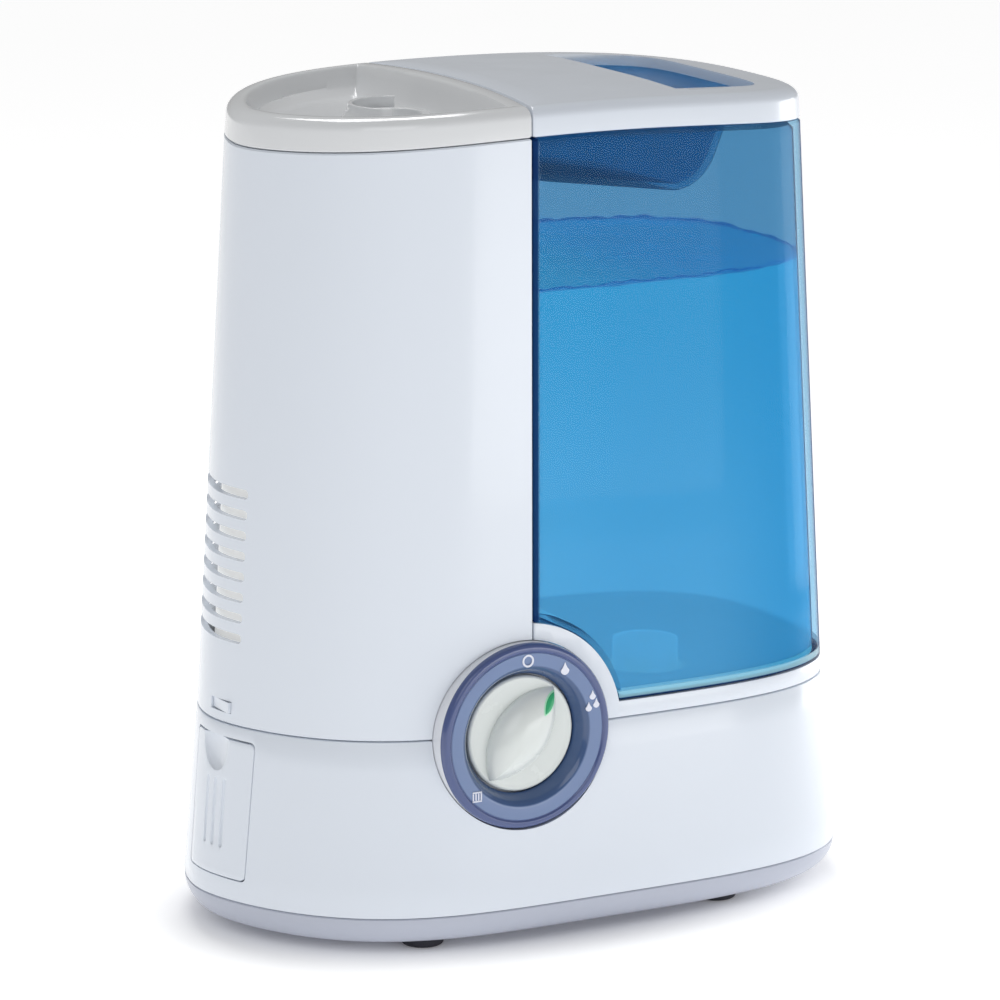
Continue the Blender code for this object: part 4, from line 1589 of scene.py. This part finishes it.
    def knob(self) -> None:
        """Dished knob with the grip standing on it."""
        r = self.knob_r
        profile = rounded_profile(
            [
                (0, -0.0012, 0),
                (0.0120, -0.0011, 0.004),
                (0.0196, -0.0003, 0.002),
                (0.0212, 0.0002, 0.0008),
                (r, -0.0006, 0.0008),
                (r, -0.0034, 0),
                (0, -0.0034, 0),
            ],
            6,
        )
        centre = Vector((self.place.centre.x, self.place.knob_front, self.place.centre.z))
        knob = lathe("knob_dish", profile, centre, forward=True, steps=144)
        grip = self.leaf("knob_grip", self.grip_length, self.grip_width, 0.0, 0.0022, 0.0)
        combine(knob, "UNION", grip)
        hand_over(knob, "dial", KNOB_WHITE, ["dial_knob"], 34.0)

    def pointer(self) -> None:
        """Green pointer let into the grip, with a paler edge."""
        halo = self.leaf("pointer_halo", 0.0053, 0.0021, 0.0150, 0.0010, 0.00006, 5)
        hand_over(halo, "dial", HALO_GREEN, angle=60.0)
        leaf = self.leaf("pointer_leaf", 0.0045, 0.00155, 0.0150, 0.0010, 0.00022, 5)
        hand_over(leaf, "dial", POINTER_GREEN, ["knob_pointer"], 60.0)


@dataclass
class ScentDrawer:
    """Curved drawer front with a finger scoop and three grooves, and the felt pad."""

    casing: Casing
    groove_r: float = 0.0011
    groove_pitch: float = 0.0050
    groove_low: float = 0.0360
    groove_high: float = 0.0600
    scoop: Colour = (0.0034, 0.0112, 0.0150)
    pad_crown: float = 0.22

    def build(self) -> None:
        """Builds the front and the pad."""
        casing = self.casing
        low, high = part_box("scent_door")
        rows = [low.z - 0.004 + (high.z - low.z + 0.008) * i / 10 for i in range(11)]
        outer = [Level(0.0, z) for z in rows]
        inner = [Level(casing.wall, z) for z in reversed(rows)]
        door = casing.loft("drawer_front", Side.WHOLE, [*outer, *inner], closed=True)
        region = block("door_region", (-0.15, low.y, low.z), (-0.110, high.y, high.z), 0.0022)
        combine(door, "INTERSECT", region)
        middle = (low.y + high.y) / 2
        top = high.z + 0.0018
        at = Matrix.Translation((casing.end_x(middle, top) - 0.0017, middle, top))
        cutters = [egg("scoop", at, self.scoop)]
        for i in (-1, 0, 1):
            y = middle + i * self.groove_pitch
            ends = [
                Vector((casing.end_x(y, z) - 0.0003, y, z))
                for z in (self.groove_low, self.groove_high)
            ]
            cutters.append(drum(f"groove_{i}", *ends, self.groove_r, 24))
            for end in ends:
                ball = [self.groove_r] * 3
                cutters.append(egg(f"groove_end_{i}", Matrix.Translation(end), ball, 16))
        combine(door, "DIFFERENCE", *cutters)
        soften(door, 0.00045, 2, 50.0)
        hand_over(door, "scent_drawer", SHELL_WHITE, ["scent_door"])
        self.pad()

    def pad(self) -> None:
        """Felt pad, crowned between its pressed edges."""
        low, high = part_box("scent_pad")
        bm = bmesh.new()
        bmesh.ops.create_cube(bm, size=1.0)
        bmesh.ops.subdivide_edges(bm, edges=bm.edges[:], cuts=9, use_grid_fill=True)
        size, middle = high - low, (low + high) / 2
        for vert in bm.verts:
            u, v, w = vert.co * 2
            bulge = 1 - self.pad_crown * (abs(v) ** 4 + abs(w) ** 6)
            vert.co = middle + Vector((u * size.x * bulge, v * size.y, w * size.z)) / 2
        pad = to_object("felt_pad", bm)
        hand_over(pad, "scent_drawer", PAD_FELT, ["scent_pad"], 60.0)


@dataclass
class Caps:
    """The rounded rim that both top caps share."""

    casing: Casing
    rim_drop: float = 0.0044
    split_round: float = 0.0011

    def rim(self) -> list[Level]:
        """Works out the rim that both caps have.

        Returns:
            The levels from the seam up the side and over the rounding.
        """
        seam = self.casing.cap_z + self.casing.seam_gap / 2
        crown = self.casing.cap_crown
        levels = [Level(0.0005, seam, crown), Level(0.0, seam + 0.0005, crown)]
        steps = 8
        for i in range(steps + 1):
            angle = math.pi / 2 * i / steps
            inset = self.casing.rim_inset * (1 - math.cos(angle))
            drop = self.rim_drop * (1 - math.sin(angle))
            back = self.split_round * (1 - math.cos(angle))
            levels.append(Level(inset, drop=drop, back=back))
        return levels


@dataclass
class Tower:
    """Steam tower: vented shell, cap with the steam bowl, medicine cup."""

    casing: Casing
    dial: DialPlace
    vent_count: int = 8
    vent_pitch: float = 0.0078
    vent_low: float = 0.1152
    vent_height: float = 0.0036
    vent_end: float = -0.0162
    liner_gap: float = 0.0030
    liner_wall: float = 0.0012
    latch_gap: float = 0.0003
    collar_r: float = 0.0170
    collar_wall: float = 0.0016
    collar_turn: float = 61.0
    cup_bore_r: float = 0.0124
    slot_count: int = 5
    slot_first: float = -0.0760
    slot_pitch: float = 0.0066
    slot_half: float = 0.0021

    def build(self) -> None:
        """Builds every piece of the tower that shows."""
        self.shell()
        self.liner()
        self.top()
        self.cup()

    def liner(self) -> None:
        """Pale liner close behind the vents, glowing as painted light so that the slots look lit.
        """
        casing, behind = self.casing, self.casing.wall + self.liner_gap
        low = self.vent_low - 0.008
        high = self.vent_low + self.vent_count * self.vent_pitch
        rows = [low + (high - low) * i / 6 for i in range(7)]
        outer = [Level(behind, z) for z in rows]
        inner = [Level(behind + self.liner_wall, z) for z in reversed(rows)]
        liner = casing.loft("vent_liner", Side.TOWER, [*outer, *inner], closed=True)
        region = block("liner_end", (-0.16, -0.022, 0.08), (-0.085, 0.12, 0.20))
        combine(liner, "INTERSECT", region)
        hand_over(liner, "tower", GLOWING_LINER_WHITE)

    def walls(self, low: float, high: float, inset: float, lip: float) -> list[Level]:
        """Levels up a wall whose top edge falls away towards the end.

        Args:
            low: height of its lower edge.
            high: height of its upper edge, at the middle of the casing.
            inset: how far it stands inside the oval.
            lip: what both edges leave for their rounding.

        Returns:
            The levels, from the bottom up.
        """
        count = 16
        crown = self.casing.cap_crown
        levels = []
        for i in range(count + 1):
            share = i / count
            z = low + lip + (high - low - 2 * lip) * share
            levels.append(Level(inset, z, crown * share))
        return levels

    def shell(self) -> None:
        """White tower wall with its vents."""
        casing = self.casing
        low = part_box("tower_shell")[0].z
        high = casing.cap_z - casing.seam_gap / 2
        lip = 0.0005
        crown = casing.cap_crown
        outer = self.walls(low, high, 0.0, lip)
        inner = self.walls(low, high, casing.wall, lip)[::-1]
        levels = [Level(casing.wall, low), Level(lip, low), *outer]
        levels += [Level(lip, high, crown), Level(casing.wall, high, crown), *inner]
        shell = casing.loft("tower_casing", Side.TOWER, levels, closed=True)
        cutters = [self.dial.notch(self.dial.pod_back + 0.0010)]
        half = self.vent_height / 2
        for i in range(self.vent_count):
            z = self.vent_low + i * self.vent_pitch
            start, end = (-0.16, self.vent_end, z - half), (-0.090, 0.12, z + half)
            cutters.append(block(f"vent_{i + 1}", start, end, 0.0014))
        latch_low, latch_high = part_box("tower_latch")
        gap = self.latch_gap
        start = (-0.14, latch_low.y + 0.0020 - gap, latch_low.z + 0.0015 - gap)
        end = (-0.11, latch_high.y - 0.0020 + gap, latch_high.z - 0.0040 + gap)
        cutters.append(block("latch_hole", start, end))
        combine(shell, "DIFFERENCE", *cutters)
        hand_over(shell, "tower", SHELL_WHITE, ["tower_shell"])

    def top(self) -> None:
        """Cap with a steam bowl sunk in it."""
        casing = self.casing
        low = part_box("tower_top")[0].z
        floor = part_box("medicine_cup")[1].z - 0.0021
        plug = casing.wall + 0.0006
        seam = casing.cap_z + casing.seam_gap / 2
        levels = [
            Level(plug, low + 0.0004),
            Level(plug, seam, casing.cap_crown),
            *Caps(casing).rim(),
            Level(0.0066, drop=0.00005, back=0.0050),
            Level(0.0072, drop=0.0004, back=0.0062),
            Level(0.0077, drop=0.0012, back=0.0068),
            Level(0.0090, drop=0.0040, back=0.0080),
            Level(0.0105, drop=0.0070, back=0.0094),
            Level(0.0126, floor + 0.0030, back=0.0108),
            Level(0.0150, floor + 0.0012, back=0.0120),
            Level(0.0182, floor + 0.0003, back=0.0134),
            Level(0.0210, floor, back=0.0150),
        ]
        top = casing.loft("bowl_cap", Side.TOWER, levels)
        at = middle_of("medicine_cup")
        r, inner = self.collar_r, self.collar_r - self.collar_wall
        collar = lathe(
            "collar",
            rounded_profile(
                [
                    (inner, floor + 0.0059, 0.0005),
                    (r, floor + 0.0059, 0.0005),
                    (r + 0.0005, floor + 0.0030, 0.001),
                    (r + 0.0030, floor - 0.0008, 0.0),
                    (inner, floor - 0.0008, 0.0),
                ]
            ),
            Vector((*at.xy, 0)),
        )
        kept = block("collar_half", (-0.04, 0.0, 0.29), (0.04, 0.04, 0.33))
        kept.data.transform(Matrix.Rotation(math.radians(self.collar_turn), 4, "Z"))
        kept.data.transform(Matrix.Translation((*at.xy, 0)))
        combine(collar, "INTERSECT", kept)
        combine(top, "UNION", collar)
        cutters = [post("cup_bore", at, 0.28, 0.33, self.cup_bore_r)]
        half = self.slot_half
        for i in range(self.slot_count):
            x = self.slot_first + i * self.slot_pitch
            start, end = (x - half, -0.0300, 0.28), (x + half, -0.0195, 0.32)
            cutters.append(block(f"steam_slot_{i + 1}", start, end, 0.0010))
        combine(top, "DIFFERENCE", *cutters)
        hand_over(top, "tower", BOWL_WHITE, ["tower_top"], 36.0)

    def cup(self) -> None:
        """Medicine cup in the bowl's floor."""
        low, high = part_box("medicine_cup")
        top = high.z
        profile = rounded_profile(
            [
                (0.0106, top, 0.0006),
                (0.0140, top, 0.0008),
                (0.0140, top - 0.0016, 0.0003),
                (0.0119, top - 0.0018, 0.0002),
                (0.0112, top - 0.0106, 0.0015),
                (0.0100, low.z, 0.0015),
                (0, low.z, 0),
                (0, low.z + 0.0012, 0),
                (0.0094, low.z + 0.0012, 0.0015),
            ]
        )
        cup = lathe("inhalant_cup", profile, Vector((*middle_of("medicine_cup").xy, 0)))
        hand_over(cup, "medicine_cup", BOWL_WHITE, ["medicine_cup"])


@dataclass
class Tank:
    """Clear tank with its finger pocket, its white top and the water in it."""

    casing: Casing
    dial: DialPlace
    water_z: float = 0.2462
    spring_wire: float = 0.0005
    spring_turns: int = 4
    valve_travel: float = 0.0030
    neck_r: float = 0.0190
    neck_wall: float = 0.0025
    tray_rise: float = 0.0069
    pocket_low: Colour = (-0.0120, -0.0400, 0.2790)
    pocket_high: Point = (0.0630, 0.0400)
    pocket_round: float = 0.0095
    pocket_lean: float = 0.010
    pocket_flare: float = 0.0050
    flare_drop: float = 0.0072
    floor_lift: float = 0.0056
    floor_fall: float = 0.139
    meniscus: float = 0.0012
    opening_length: float = 0.0430
    opening_half: float = 0.0470
    opening_flare: float = 0.0022
    deck_edge: float = 0.0450
    rib_count: int = 24
    rib_r: float = 0.0009

    def __post_init__(self) -> None:
        """Reads the tank's place from the frame."""
        self.neck = middle_of("tank_cap")
        self.low = self.casing.seam_z + self.tray_rise
        self.high = self.casing.cap_z - self.casing.seam_gap / 2

    def build(self) -> None:
        """Builds shell, water and top."""
        self.shell()
        self.water()
        self.top()
        self.cap()
        self.spring()

    def body(
        self, name: str, inset: float, low: float, high: float, lip: float
    ) -> bpy.types.Object:
        """The tank's outer or inner form, with its crowned roof.

        Args:
            name: the object's name.
            inset: how far it stands inside the oval.
            low: height of its floor.
            high: height of its roof, at the middle of the casing.
            lip: width of the rounding at its edges.

        Returns:
            The solid.
        """
        crown, count = self.casing.cap_crown, 16
        levels = [Level(inset + 0.05, low), Level(inset + 0.02, low), Level(inset + lip, low)]
        for i in range(count + 1):
            share = i / count
            z = low + lip + (high - low - 2 * lip) * share
            full = (z - self.low) / (self.high - self.low)
            levels.append(Level(inset, z, crown * max(full, 0.0)))
        for further in (lip, 0.012, 0.024, 0.036, 0.048):
            levels.append(Level(inset + further, high, crown))
        return self.casing.loft(name, Side.TANK, levels)

    def pocket(self, name: str, grow: float) -> bpy.types.Object:
        """The space of the finger pocket, with a floor that slopes down to the tank's end.

        Args:
            name: the object's name.
            grow: how far it stands outside the pocket on every side.

        Returns:
            The solid, open to above the tank.
        """
        low = Vector(self.pocket_low) - Vector((grow, grow, grow))
        flare_z = self.high - self.flare_drop
        high = Vector((self.pocket_high[0] + grow, self.pocket_high[1] + grow, flare_z))
        bm = bmesh.new()
        bmesh.ops.create_cube(bm, size=1.0)
        bmesh.ops.scale(bm, vec=high - low, verts=bm.verts)
        bmesh.ops.translate(bm, vec=(low + high) / 2, verts=bm.verts)
        rounded = [e for e in bm.edges if min(v.co.z for v in e.verts) < flare_z - 0.001]
        bmesh.ops.bevel(
            bm,
            geom=rounded,
            offset=self.pocket_round + grow,
            affect="EDGES",
            segments=8,
            profile=0.5,
            material=-1,
        )
        for vert in bm.verts:
            share = (flare_z - vert.co.z) / (flare_z - low.z)
            fall = self.floor_fall * (vert.co.x - self.pocket_low[0])
            vert.co.z += share * (self.floor_lift - fall)
            vert.co.x += (1 - share) * self.pocket_lean if vert.co.x > 0.03 else 0.0
        face = [f for f in bm.faces if all(abs(v.co.z - flare_z) < 1e-5 for v in f.verts)]
        high.x += self.pocket_lean
        centre = Vector(((low.x + high.x) / 2, (low.y + high.y) / 2, 0))
        steps, flare, span = 8, self.pocket_flare, high - low
        before = 0.0
        for i in range(1, steps + 1):
            angle = math.pi / 2 * i / steps
            out = flare * (1 - math.cos(angle))
            face = bmesh.ops.extrude_discrete_faces(bm, faces=face)["faces"]
            for vert in face[0].verts:
                rel = vert.co - centre
                rel.x *= (span.x / 2 + out) / (span.x / 2 + before)
                rel.y *= (span.y / 2 + out) / (span.y / 2 + before)
                vert.co = (centre.x + rel.x, centre.y + rel.y, flare_z + flare * math.sin(angle))
            before = out
        face = bmesh.ops.extrude_discrete_faces(bm, faces=face)["faces"]
        bmesh.ops.translate(bm, vec=(0, 0, 0.03), verts=face[0].verts)
        return to_object(name, bm)

    def tint(self) -> TintedClear:
        """Mixes the tank's blue.

        Returns:
            The finish.
        """
        return TintedClear(
            "tank_blue",
            tint=(0.56, 0.75, 0.86),
            body=(0.04, 0.19, 0.42),
            # edge: the colour of the painted shade bands at the split and the bottom edge.
            edge=(0.004, 0.028, 0.12),
            cover=0.10,
            line=self.casing.line,
            low_z=self.low,
        )

    def shell(self) -> None:
        """Blue shell, hollow, with its pocket, its notch for the dial and its neck."""
        casing, wall = self.casing, self.casing.wall
        back = self.dial.pod_back + 0.0020
        gap = casing.seam_gap
        shell = self.body("tank_wall", 0.0, self.low, self.high, 0.0008)
        neck_low, neck_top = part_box("tank_shell")[0].z, self.low + 0.0010
        neck = post("neck", self.neck, neck_low, neck_top, self.neck_r)
        notch = self.dial.cylinder("tank_notch", self.dial.band_r + gap, back)
        combine(shell, "DIFFERENCE", self.pocket("pocket", 0.0), notch)
        combine(shell, "UNION", neck)
        hollow = self.body("hollow", wall, self.low + wall, self.high - wall, 0.0015)
        around = self.dial.cylinder("notch_wall", self.dial.band_r + gap + wall, back + wall)
        combine(hollow, "DIFFERENCE", self.pocket("pocket_wall", wall), around)
        bore = post("neck_bore", self.neck, 0.05, 0.12, self.neck_r - self.neck_wall)
        combine(shell, "DIFFERENCE", hollow, bore)
        hand_over(shell, "tank", self.tint(), ["tank_shell"])

    @staticmethod
    def ripple(x: float, y: float) -> float:
        """The small waves on the water.

        Args:
            x: the place along the tank.
            y: the place across the tank.

        Returns:
            How far the surface is lifted there.
        """
        long_wave = 0.00045 * math.sin(210 * x + 70 * y) * math.cos(140 * y - 60 * x)
        short_wave = 0.00030 * math.sin(610 * x - 220 * y + 1.3)
        fine_wave = 0.00022 * math.sin(940 * x + 400 * y)
        return long_wave + (short_wave + fine_wave)

    def water(self) -> None:
        """Standing water, with a curled-up edge and small waves."""
        inset = self.casing.wall + 0.0003
        low = self.low + 0.0010
        edge = self.water_z + self.meniscus
        count = 10
        levels = [Level(inset + 0.05, low), Level(inset + 0.02, low), Level(inset, low)]
        for i in range(1, count + 1):
            levels.append(Level(inset, low + (edge - low) * i / count))
        for further, fall in ((0.0005, 0.0002), (0.0012, 0.0009), (0.0024, self.meniscus)):
            levels.append(Level(inset + further, edge - fall))
        for i in range(1, 17):
            levels.append(Level(inset + 0.0024 + 0.0031 * i, self.water_z))
        water = self.casing.loft("standing_water", Side.TANK, levels)
        for vert in water.data.vertices:
            if vert.co.z > self.water_z - 0.004:
                vert.co.z += self.ripple(vert.co.x, vert.co.y)
        back = self.dial.pod_back + 0.0020 + inset
        notch_r = self.dial.band_r + self.casing.seam_gap + inset
        cage_low, cage_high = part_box("valve_cage")
        radius = (cage_high.x - cage_low.x) / 2 + 0.0004
        cage = post("cage_room", self.neck, 0.05, cage_high.z + 0.0004, radius)
        combine(water, "DIFFERENCE", self.dial.cylinder("notch_room", notch_r, back), cage)
        faces_up = water.data.attributes.new(WATER_FACE, "FLOAT", "FACE")
        for face in water.data.polygons:
            high = face.center.z > self.water_z - 0.0030
            faces_up.data[face.index].value = float(high and face.normal.z > 0.75)
        # Painted light and shade: a glow, a paler floor, a darker end, a dark water line and a
        # darker far top.
        finish = StandingWater(
            "water",
            tint=(0.75, 0.93, 1.0),
            lit_low_colour=(0.50, 0.88, 0.97),
            high_colour=(0.13, 0.66, 0.80),
            shaded_end_colour=(0.02, 0.52, 0.72),
            shaded_line_colour=(0.03, 0.14, 0.42),
            top_near=(0.08, 0.46, 0.60),
            shaded_top_far=(0.08, 0.24, 0.50),
            low_z=self.low,
            high_z=self.water_z,
            cover=0.50,
            painted_glow=0.62,
        )
        hand_over(water, "tank", finish, angle=50.0)

    def opening(self) -> bpy.types.Object:
        """Makes the cutter for the hand opening, flared at its upper edge.

        Returns:
            The solid.
        """
        count = 72
        edge = []
        for i in range(count):
            angle = math.pi * (i / (count - 1) - 0.5)
            along = abs(math.cos(angle)) ** 0.4
            over = math.copysign(abs(math.sin(angle)) ** 0.3, math.sin(angle))
            edge.append((along * self.opening_length, over * self.opening_half))
        bm = bmesh.new()
        bmesh.ops.create_circle(bm, segments=count, radius=1.0, cap_ends=True)
        bm.verts.ensure_lookup_table()
        for vert, (along, over) in zip(bm.verts, edge):
            vert.co = (self.deck_edge + along, over, 0.28)
        face = bm.faces[:]
        top = self.casing.top_z - 0.0012
        middle_x = self.deck_edge + 0.012
        rows = ((-0.0020, 0.0), (-0.0008, 0.15), (0.0, 0.4), (0.0008, 0.8), (0.004, 2.2))
        for rise, out in rows:
            before = [vert.co.copy() for vert in face[0].verts]
            face = bmesh.ops.extrude_discrete_faces(bm, faces=face)["faces"]
            reach = out * self.opening_flare
            for vert, old in zip(face[0].verts, before):
                direction = Vector((old.x - middle_x, old.y, 0))
                spread = 1 + reach / max(direction.length, 0.001)
                x = max(self.deck_edge - reach * 0.4, middle_x + direction.x * spread)
                vert.co = (x, direction.y * spread, top + rise) if out else (*old.xy, top + rise)
        return to_object("opening", bm)

    def top(self) -> None:
        """White top: a deck to lift by, and the opening behind it."""
        casing = self.casing
        seam = casing.cap_z + casing.seam_gap / 2
        inner, under = 0.0060, 0.0040
        steps = (0.012, 0.020, 0.030, 0.040, 0.050)
        levels = [Level(inset, drop=under) for inset in reversed(steps)]
        levels += [Level(inner, drop=under), Level(inner, seam, casing.cap_crown)]
        levels += Caps(casing).rim()
        levels += [Level(inset, drop=0.0) for inset in steps]
        top = casing.loft("deck_cap", Side.TANK, levels)
        combine(top, "DIFFERENCE", self.opening())
        hand_over(top, "tank", SHELL_WHITE, ["tank_top"], 36.0)

    def cap(self) -> None:
        """Screw cap, with ribs to grip it by."""
        low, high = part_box("tank_cap")
        r = (high.x - low.x) / 2
        profile = rounded_profile(
            [
                (r - 0.0018, high.z, 0.0004),
                (r, high.z, 0.0005),
                (r, low.z, 0.0010),
                (0.0040, low.z, 0.0003),
                (0.0040, low.z + 0.0020, 0.0003),
                (r - 0.0018, low.z + 0.0020, 0.0006),
            ]
        )
        cap = lathe("screw_cap", profile, Vector((*self.neck.xy, 0)), steps=120)
        reach, foot, head = r + 0.0004, low.z - 0.001, high.z - 0.002
        grooves = []
        for i in range(self.rib_count):
            turn = 2 * math.pi * i / self.rib_count
            across, deep = reach * math.cos(turn), reach * math.sin(turn)
            at = Vector((self.neck.x + across, self.neck.y + deep))
            grooves.append(post(f"rib_{i}", at, foot, head, self.rib_r, 12))
        combine(cap, "DIFFERENCE", *grooves)
        hand_over(cap, "tank_cap", CAP_BLUE, ["tank_cap"])

    def spring(self) -> None:
        """Coil spring over the valve."""
        low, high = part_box("valve_spring")
        middle, length = (low + high) / 2, high.z - low.z
        wire, turns, around = self.spring_wire, self.spring_turns, 28
        upright = Matrix.Rotation(math.pi / 2, 3, "X")
        bm = bmesh.new()
        bmesh.ops.create_circle(bm, segments=10, radius=wire)
        bmesh.ops.rotate(bm, cent=(0, 0, 0), matrix=upright, verts=bm.verts)
        start = Vector((middle.x + (high.x - low.x) / 2 - wire, middle.y, low.z + wire))
        bmesh.ops.translate(bm, vec=start, verts=bm.verts)
        bmesh.ops.spin(
            bm,
            geom=bm.verts[:] + bm.edges[:],
            cent=middle,
            axis=(0, 0, 1),
            dvec=(0, 0, (length - 2 * wire) / (turns * around)),
            angle=2 * math.pi * turns,
            steps=turns * around,
        )
        bmesh.ops.holes_fill(bm, edges=[edge for edge in bm.edges if edge.is_boundary])
        coil = to_object("valve_coil", bm)
        hand_over(coil, "tank_cap", STEEL, ["valve_spring"], 60.0)
        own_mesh(coil)


# ---- Studio ----------------------------------------------------------------------------------


@dataclass
class SoftLight:
    """One area light, aimed at a point."""

    name: str
    place: Colour
    aim: Colour
    size: tuple[float, float]
    power: float
    colour: Colour = (1.0, 1.0, 1.0)

    def build(self) -> None:
        """Adds the light."""
        data = bpy.data.lights.new(self.name, "AREA")
        data.shape = "RECTANGLE"
        data.size, data.size_y = self.size
        data.energy = self.power
        data.color = self.colour
        made = bpy.data.objects.new(self.name, data)
        made.location = self.place
        away = Vector(self.place) - Vector(self.aim)
        made.rotation_euler = away.to_track_quat("Z", "Y").to_euler()
        bpy.context.scene.collection.objects.link(made)


@dataclass
class Studio:
    """Pale floor, soft lights and the camera."""

    eye: Colour = (-0.9725, -1.7578, 0.6088)
    yaw: float = -28.9065
    pitch: float = -12.7967
    roll: float = 0.2846
    lens: float = 193.8
    floor_size: float = 6.0
    # shadow_half, shadow_from, shadow_to: size and falloff of the painted shadow on the floor.
    shadow_half: Point = (0.131, 0.080)
    shadow_from: float = 0.80
    shadow_to: float = 1.35
    floor_glow: float = 0.66
    world_strength: float = 0.33

    def build(self) -> None:
        """Adds floor, world, lights and camera."""
        self.floor()
        self.world()
        for light in (
            SoftLight("key", (-1.0, -1.2, 1.2), (0, 0, 0.10), (1.1, 1.1), 5.0, (0.97, 0.98, 1.0)),
            SoftLight("low_front", (0.35, -0.75, 0.12), (0, 0, 0.03), (0.5, 0.2), 0.8),
            SoftLight("overhead", (0.1, 0.6, 1.3), (-0.05, 0, 0.3), (0.6, 0.5), 5.6),
            SoftLight("strip", (0.62, 0.02, 0.18), (0.10, -0.02, 0.18), (0.30, 0.34), 1.1),
        ):
            light.build()
        self.camera()

    def floor(self) -> None:
        """Wide pale floor, whose glow is dimmed close under the object as a painted shadow."""
        bm = bmesh.new()
        bmesh.ops.create_grid(bm, x_segments=8, y_segments=8, size=self.floor_size)
        floor = to_object("studio_floor", bm)
        graph = Graph("studio_floor")
        x, y, _ = graph.axes()
        length, depth = self.shadow_half
        away = ((x / length) ** 2.0 + (y / depth) ** 2.0) ** 0.5
        # Painted shadow: the floor's glow falls off close under the object.
        open_floor = graph.ramp(away, self.shadow_from, self.shadow_to)
        pale, paler = (0.90, 0.90, 0.90), (0.93, 0.93, 0.93)
        shader = graph.principled(
            Base_Color=graph.blend(graph.noise(3.0), pale, paler),
            Roughness=0.75,
            IOR=1.3,
            Emission_Color=graph.blend(open_floor, (0.10, 0.10, 0.11), (1.0, 1.0, 1.0)),
            Emission_Strength=self.floor_glow,
        )
        floor.data.materials.append(graph.finish(shader))

    def world(self) -> None:
        """Even white surroundings."""
        world = bpy.data.worlds.new("studio")
        world.use_nodes = True
        background = world.node_tree.nodes["Background"]
        background.inputs["Color"].default_value = (1.0, 1.0, 1.0, 1.0)
        background.inputs["Strength"].default_value = self.world_strength
        bpy.context.scene.world = world

    def camera(self) -> None:
        """The camera, at eye and looking slightly down."""
        data = bpy.data.cameras.new("camera")
        data.lens = self.lens
        data.sensor_width = 36.0
        data.clip_start, data.clip_end = 0.05, 50.0
        made = bpy.data.objects.new("camera", data)
        level = Matrix.Rotation(math.radians(90 + self.pitch), 3, "X")
        turn = Matrix.Rotation(math.radians(self.yaw), 3, "Z")
        tilt = Matrix.Rotation(math.radians(self.roll), 3, "Z")
        made.location = self.eye
        made.rotation_euler = (turn @ level @ tilt).to_euler()
        bpy.context.scene.collection.objects.link(made)
        bpy.context.scene.camera = made


def dress_frame(frame: dict[str, Any]) -> None:
    """Gives every node of the frame that still shows the finish of its slot.

    Args:
        frame: the loaded frame, with its record and its nodes.
    """
    slots = {part["node"]: part["material_slot"] for part in frame["record"]["subparts"]}
    for name, node in frame["nodes"].items():
        if node.hide_render:
            continue
        WARDROBE.wear(node, SLOT_FINISHES[slots[name]])
        LOG.info("%s: dressed as %s", name, slots[name])


def main() -> None:
    """Loads the frame, builds every sub-assembly round it and sets the studio up."""
    logging.basicConfig(level=logging.INFO, format="%(name)s %(message)s")
    for old in list(bpy.data.objects):
        bpy.data.objects.remove(old, do_unlink=True)
    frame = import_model()
    bpy.context.scene.view_settings.view_transform = "Standard"
    casing = Casing()
    dial = DialPlace()
    assemblies = (
        Base(casing, dial),
        Dial(dial),
        ScentDrawer(casing),
        Tower(casing, dial),
        Tank(casing, dial),
    )
    for assembly in assemblies:
        LOG.info("building %s", type(assembly).__name__)
        assembly.build()
    dress_frame(frame)
    Studio().build()


if __name__ == "__main__":
    main()
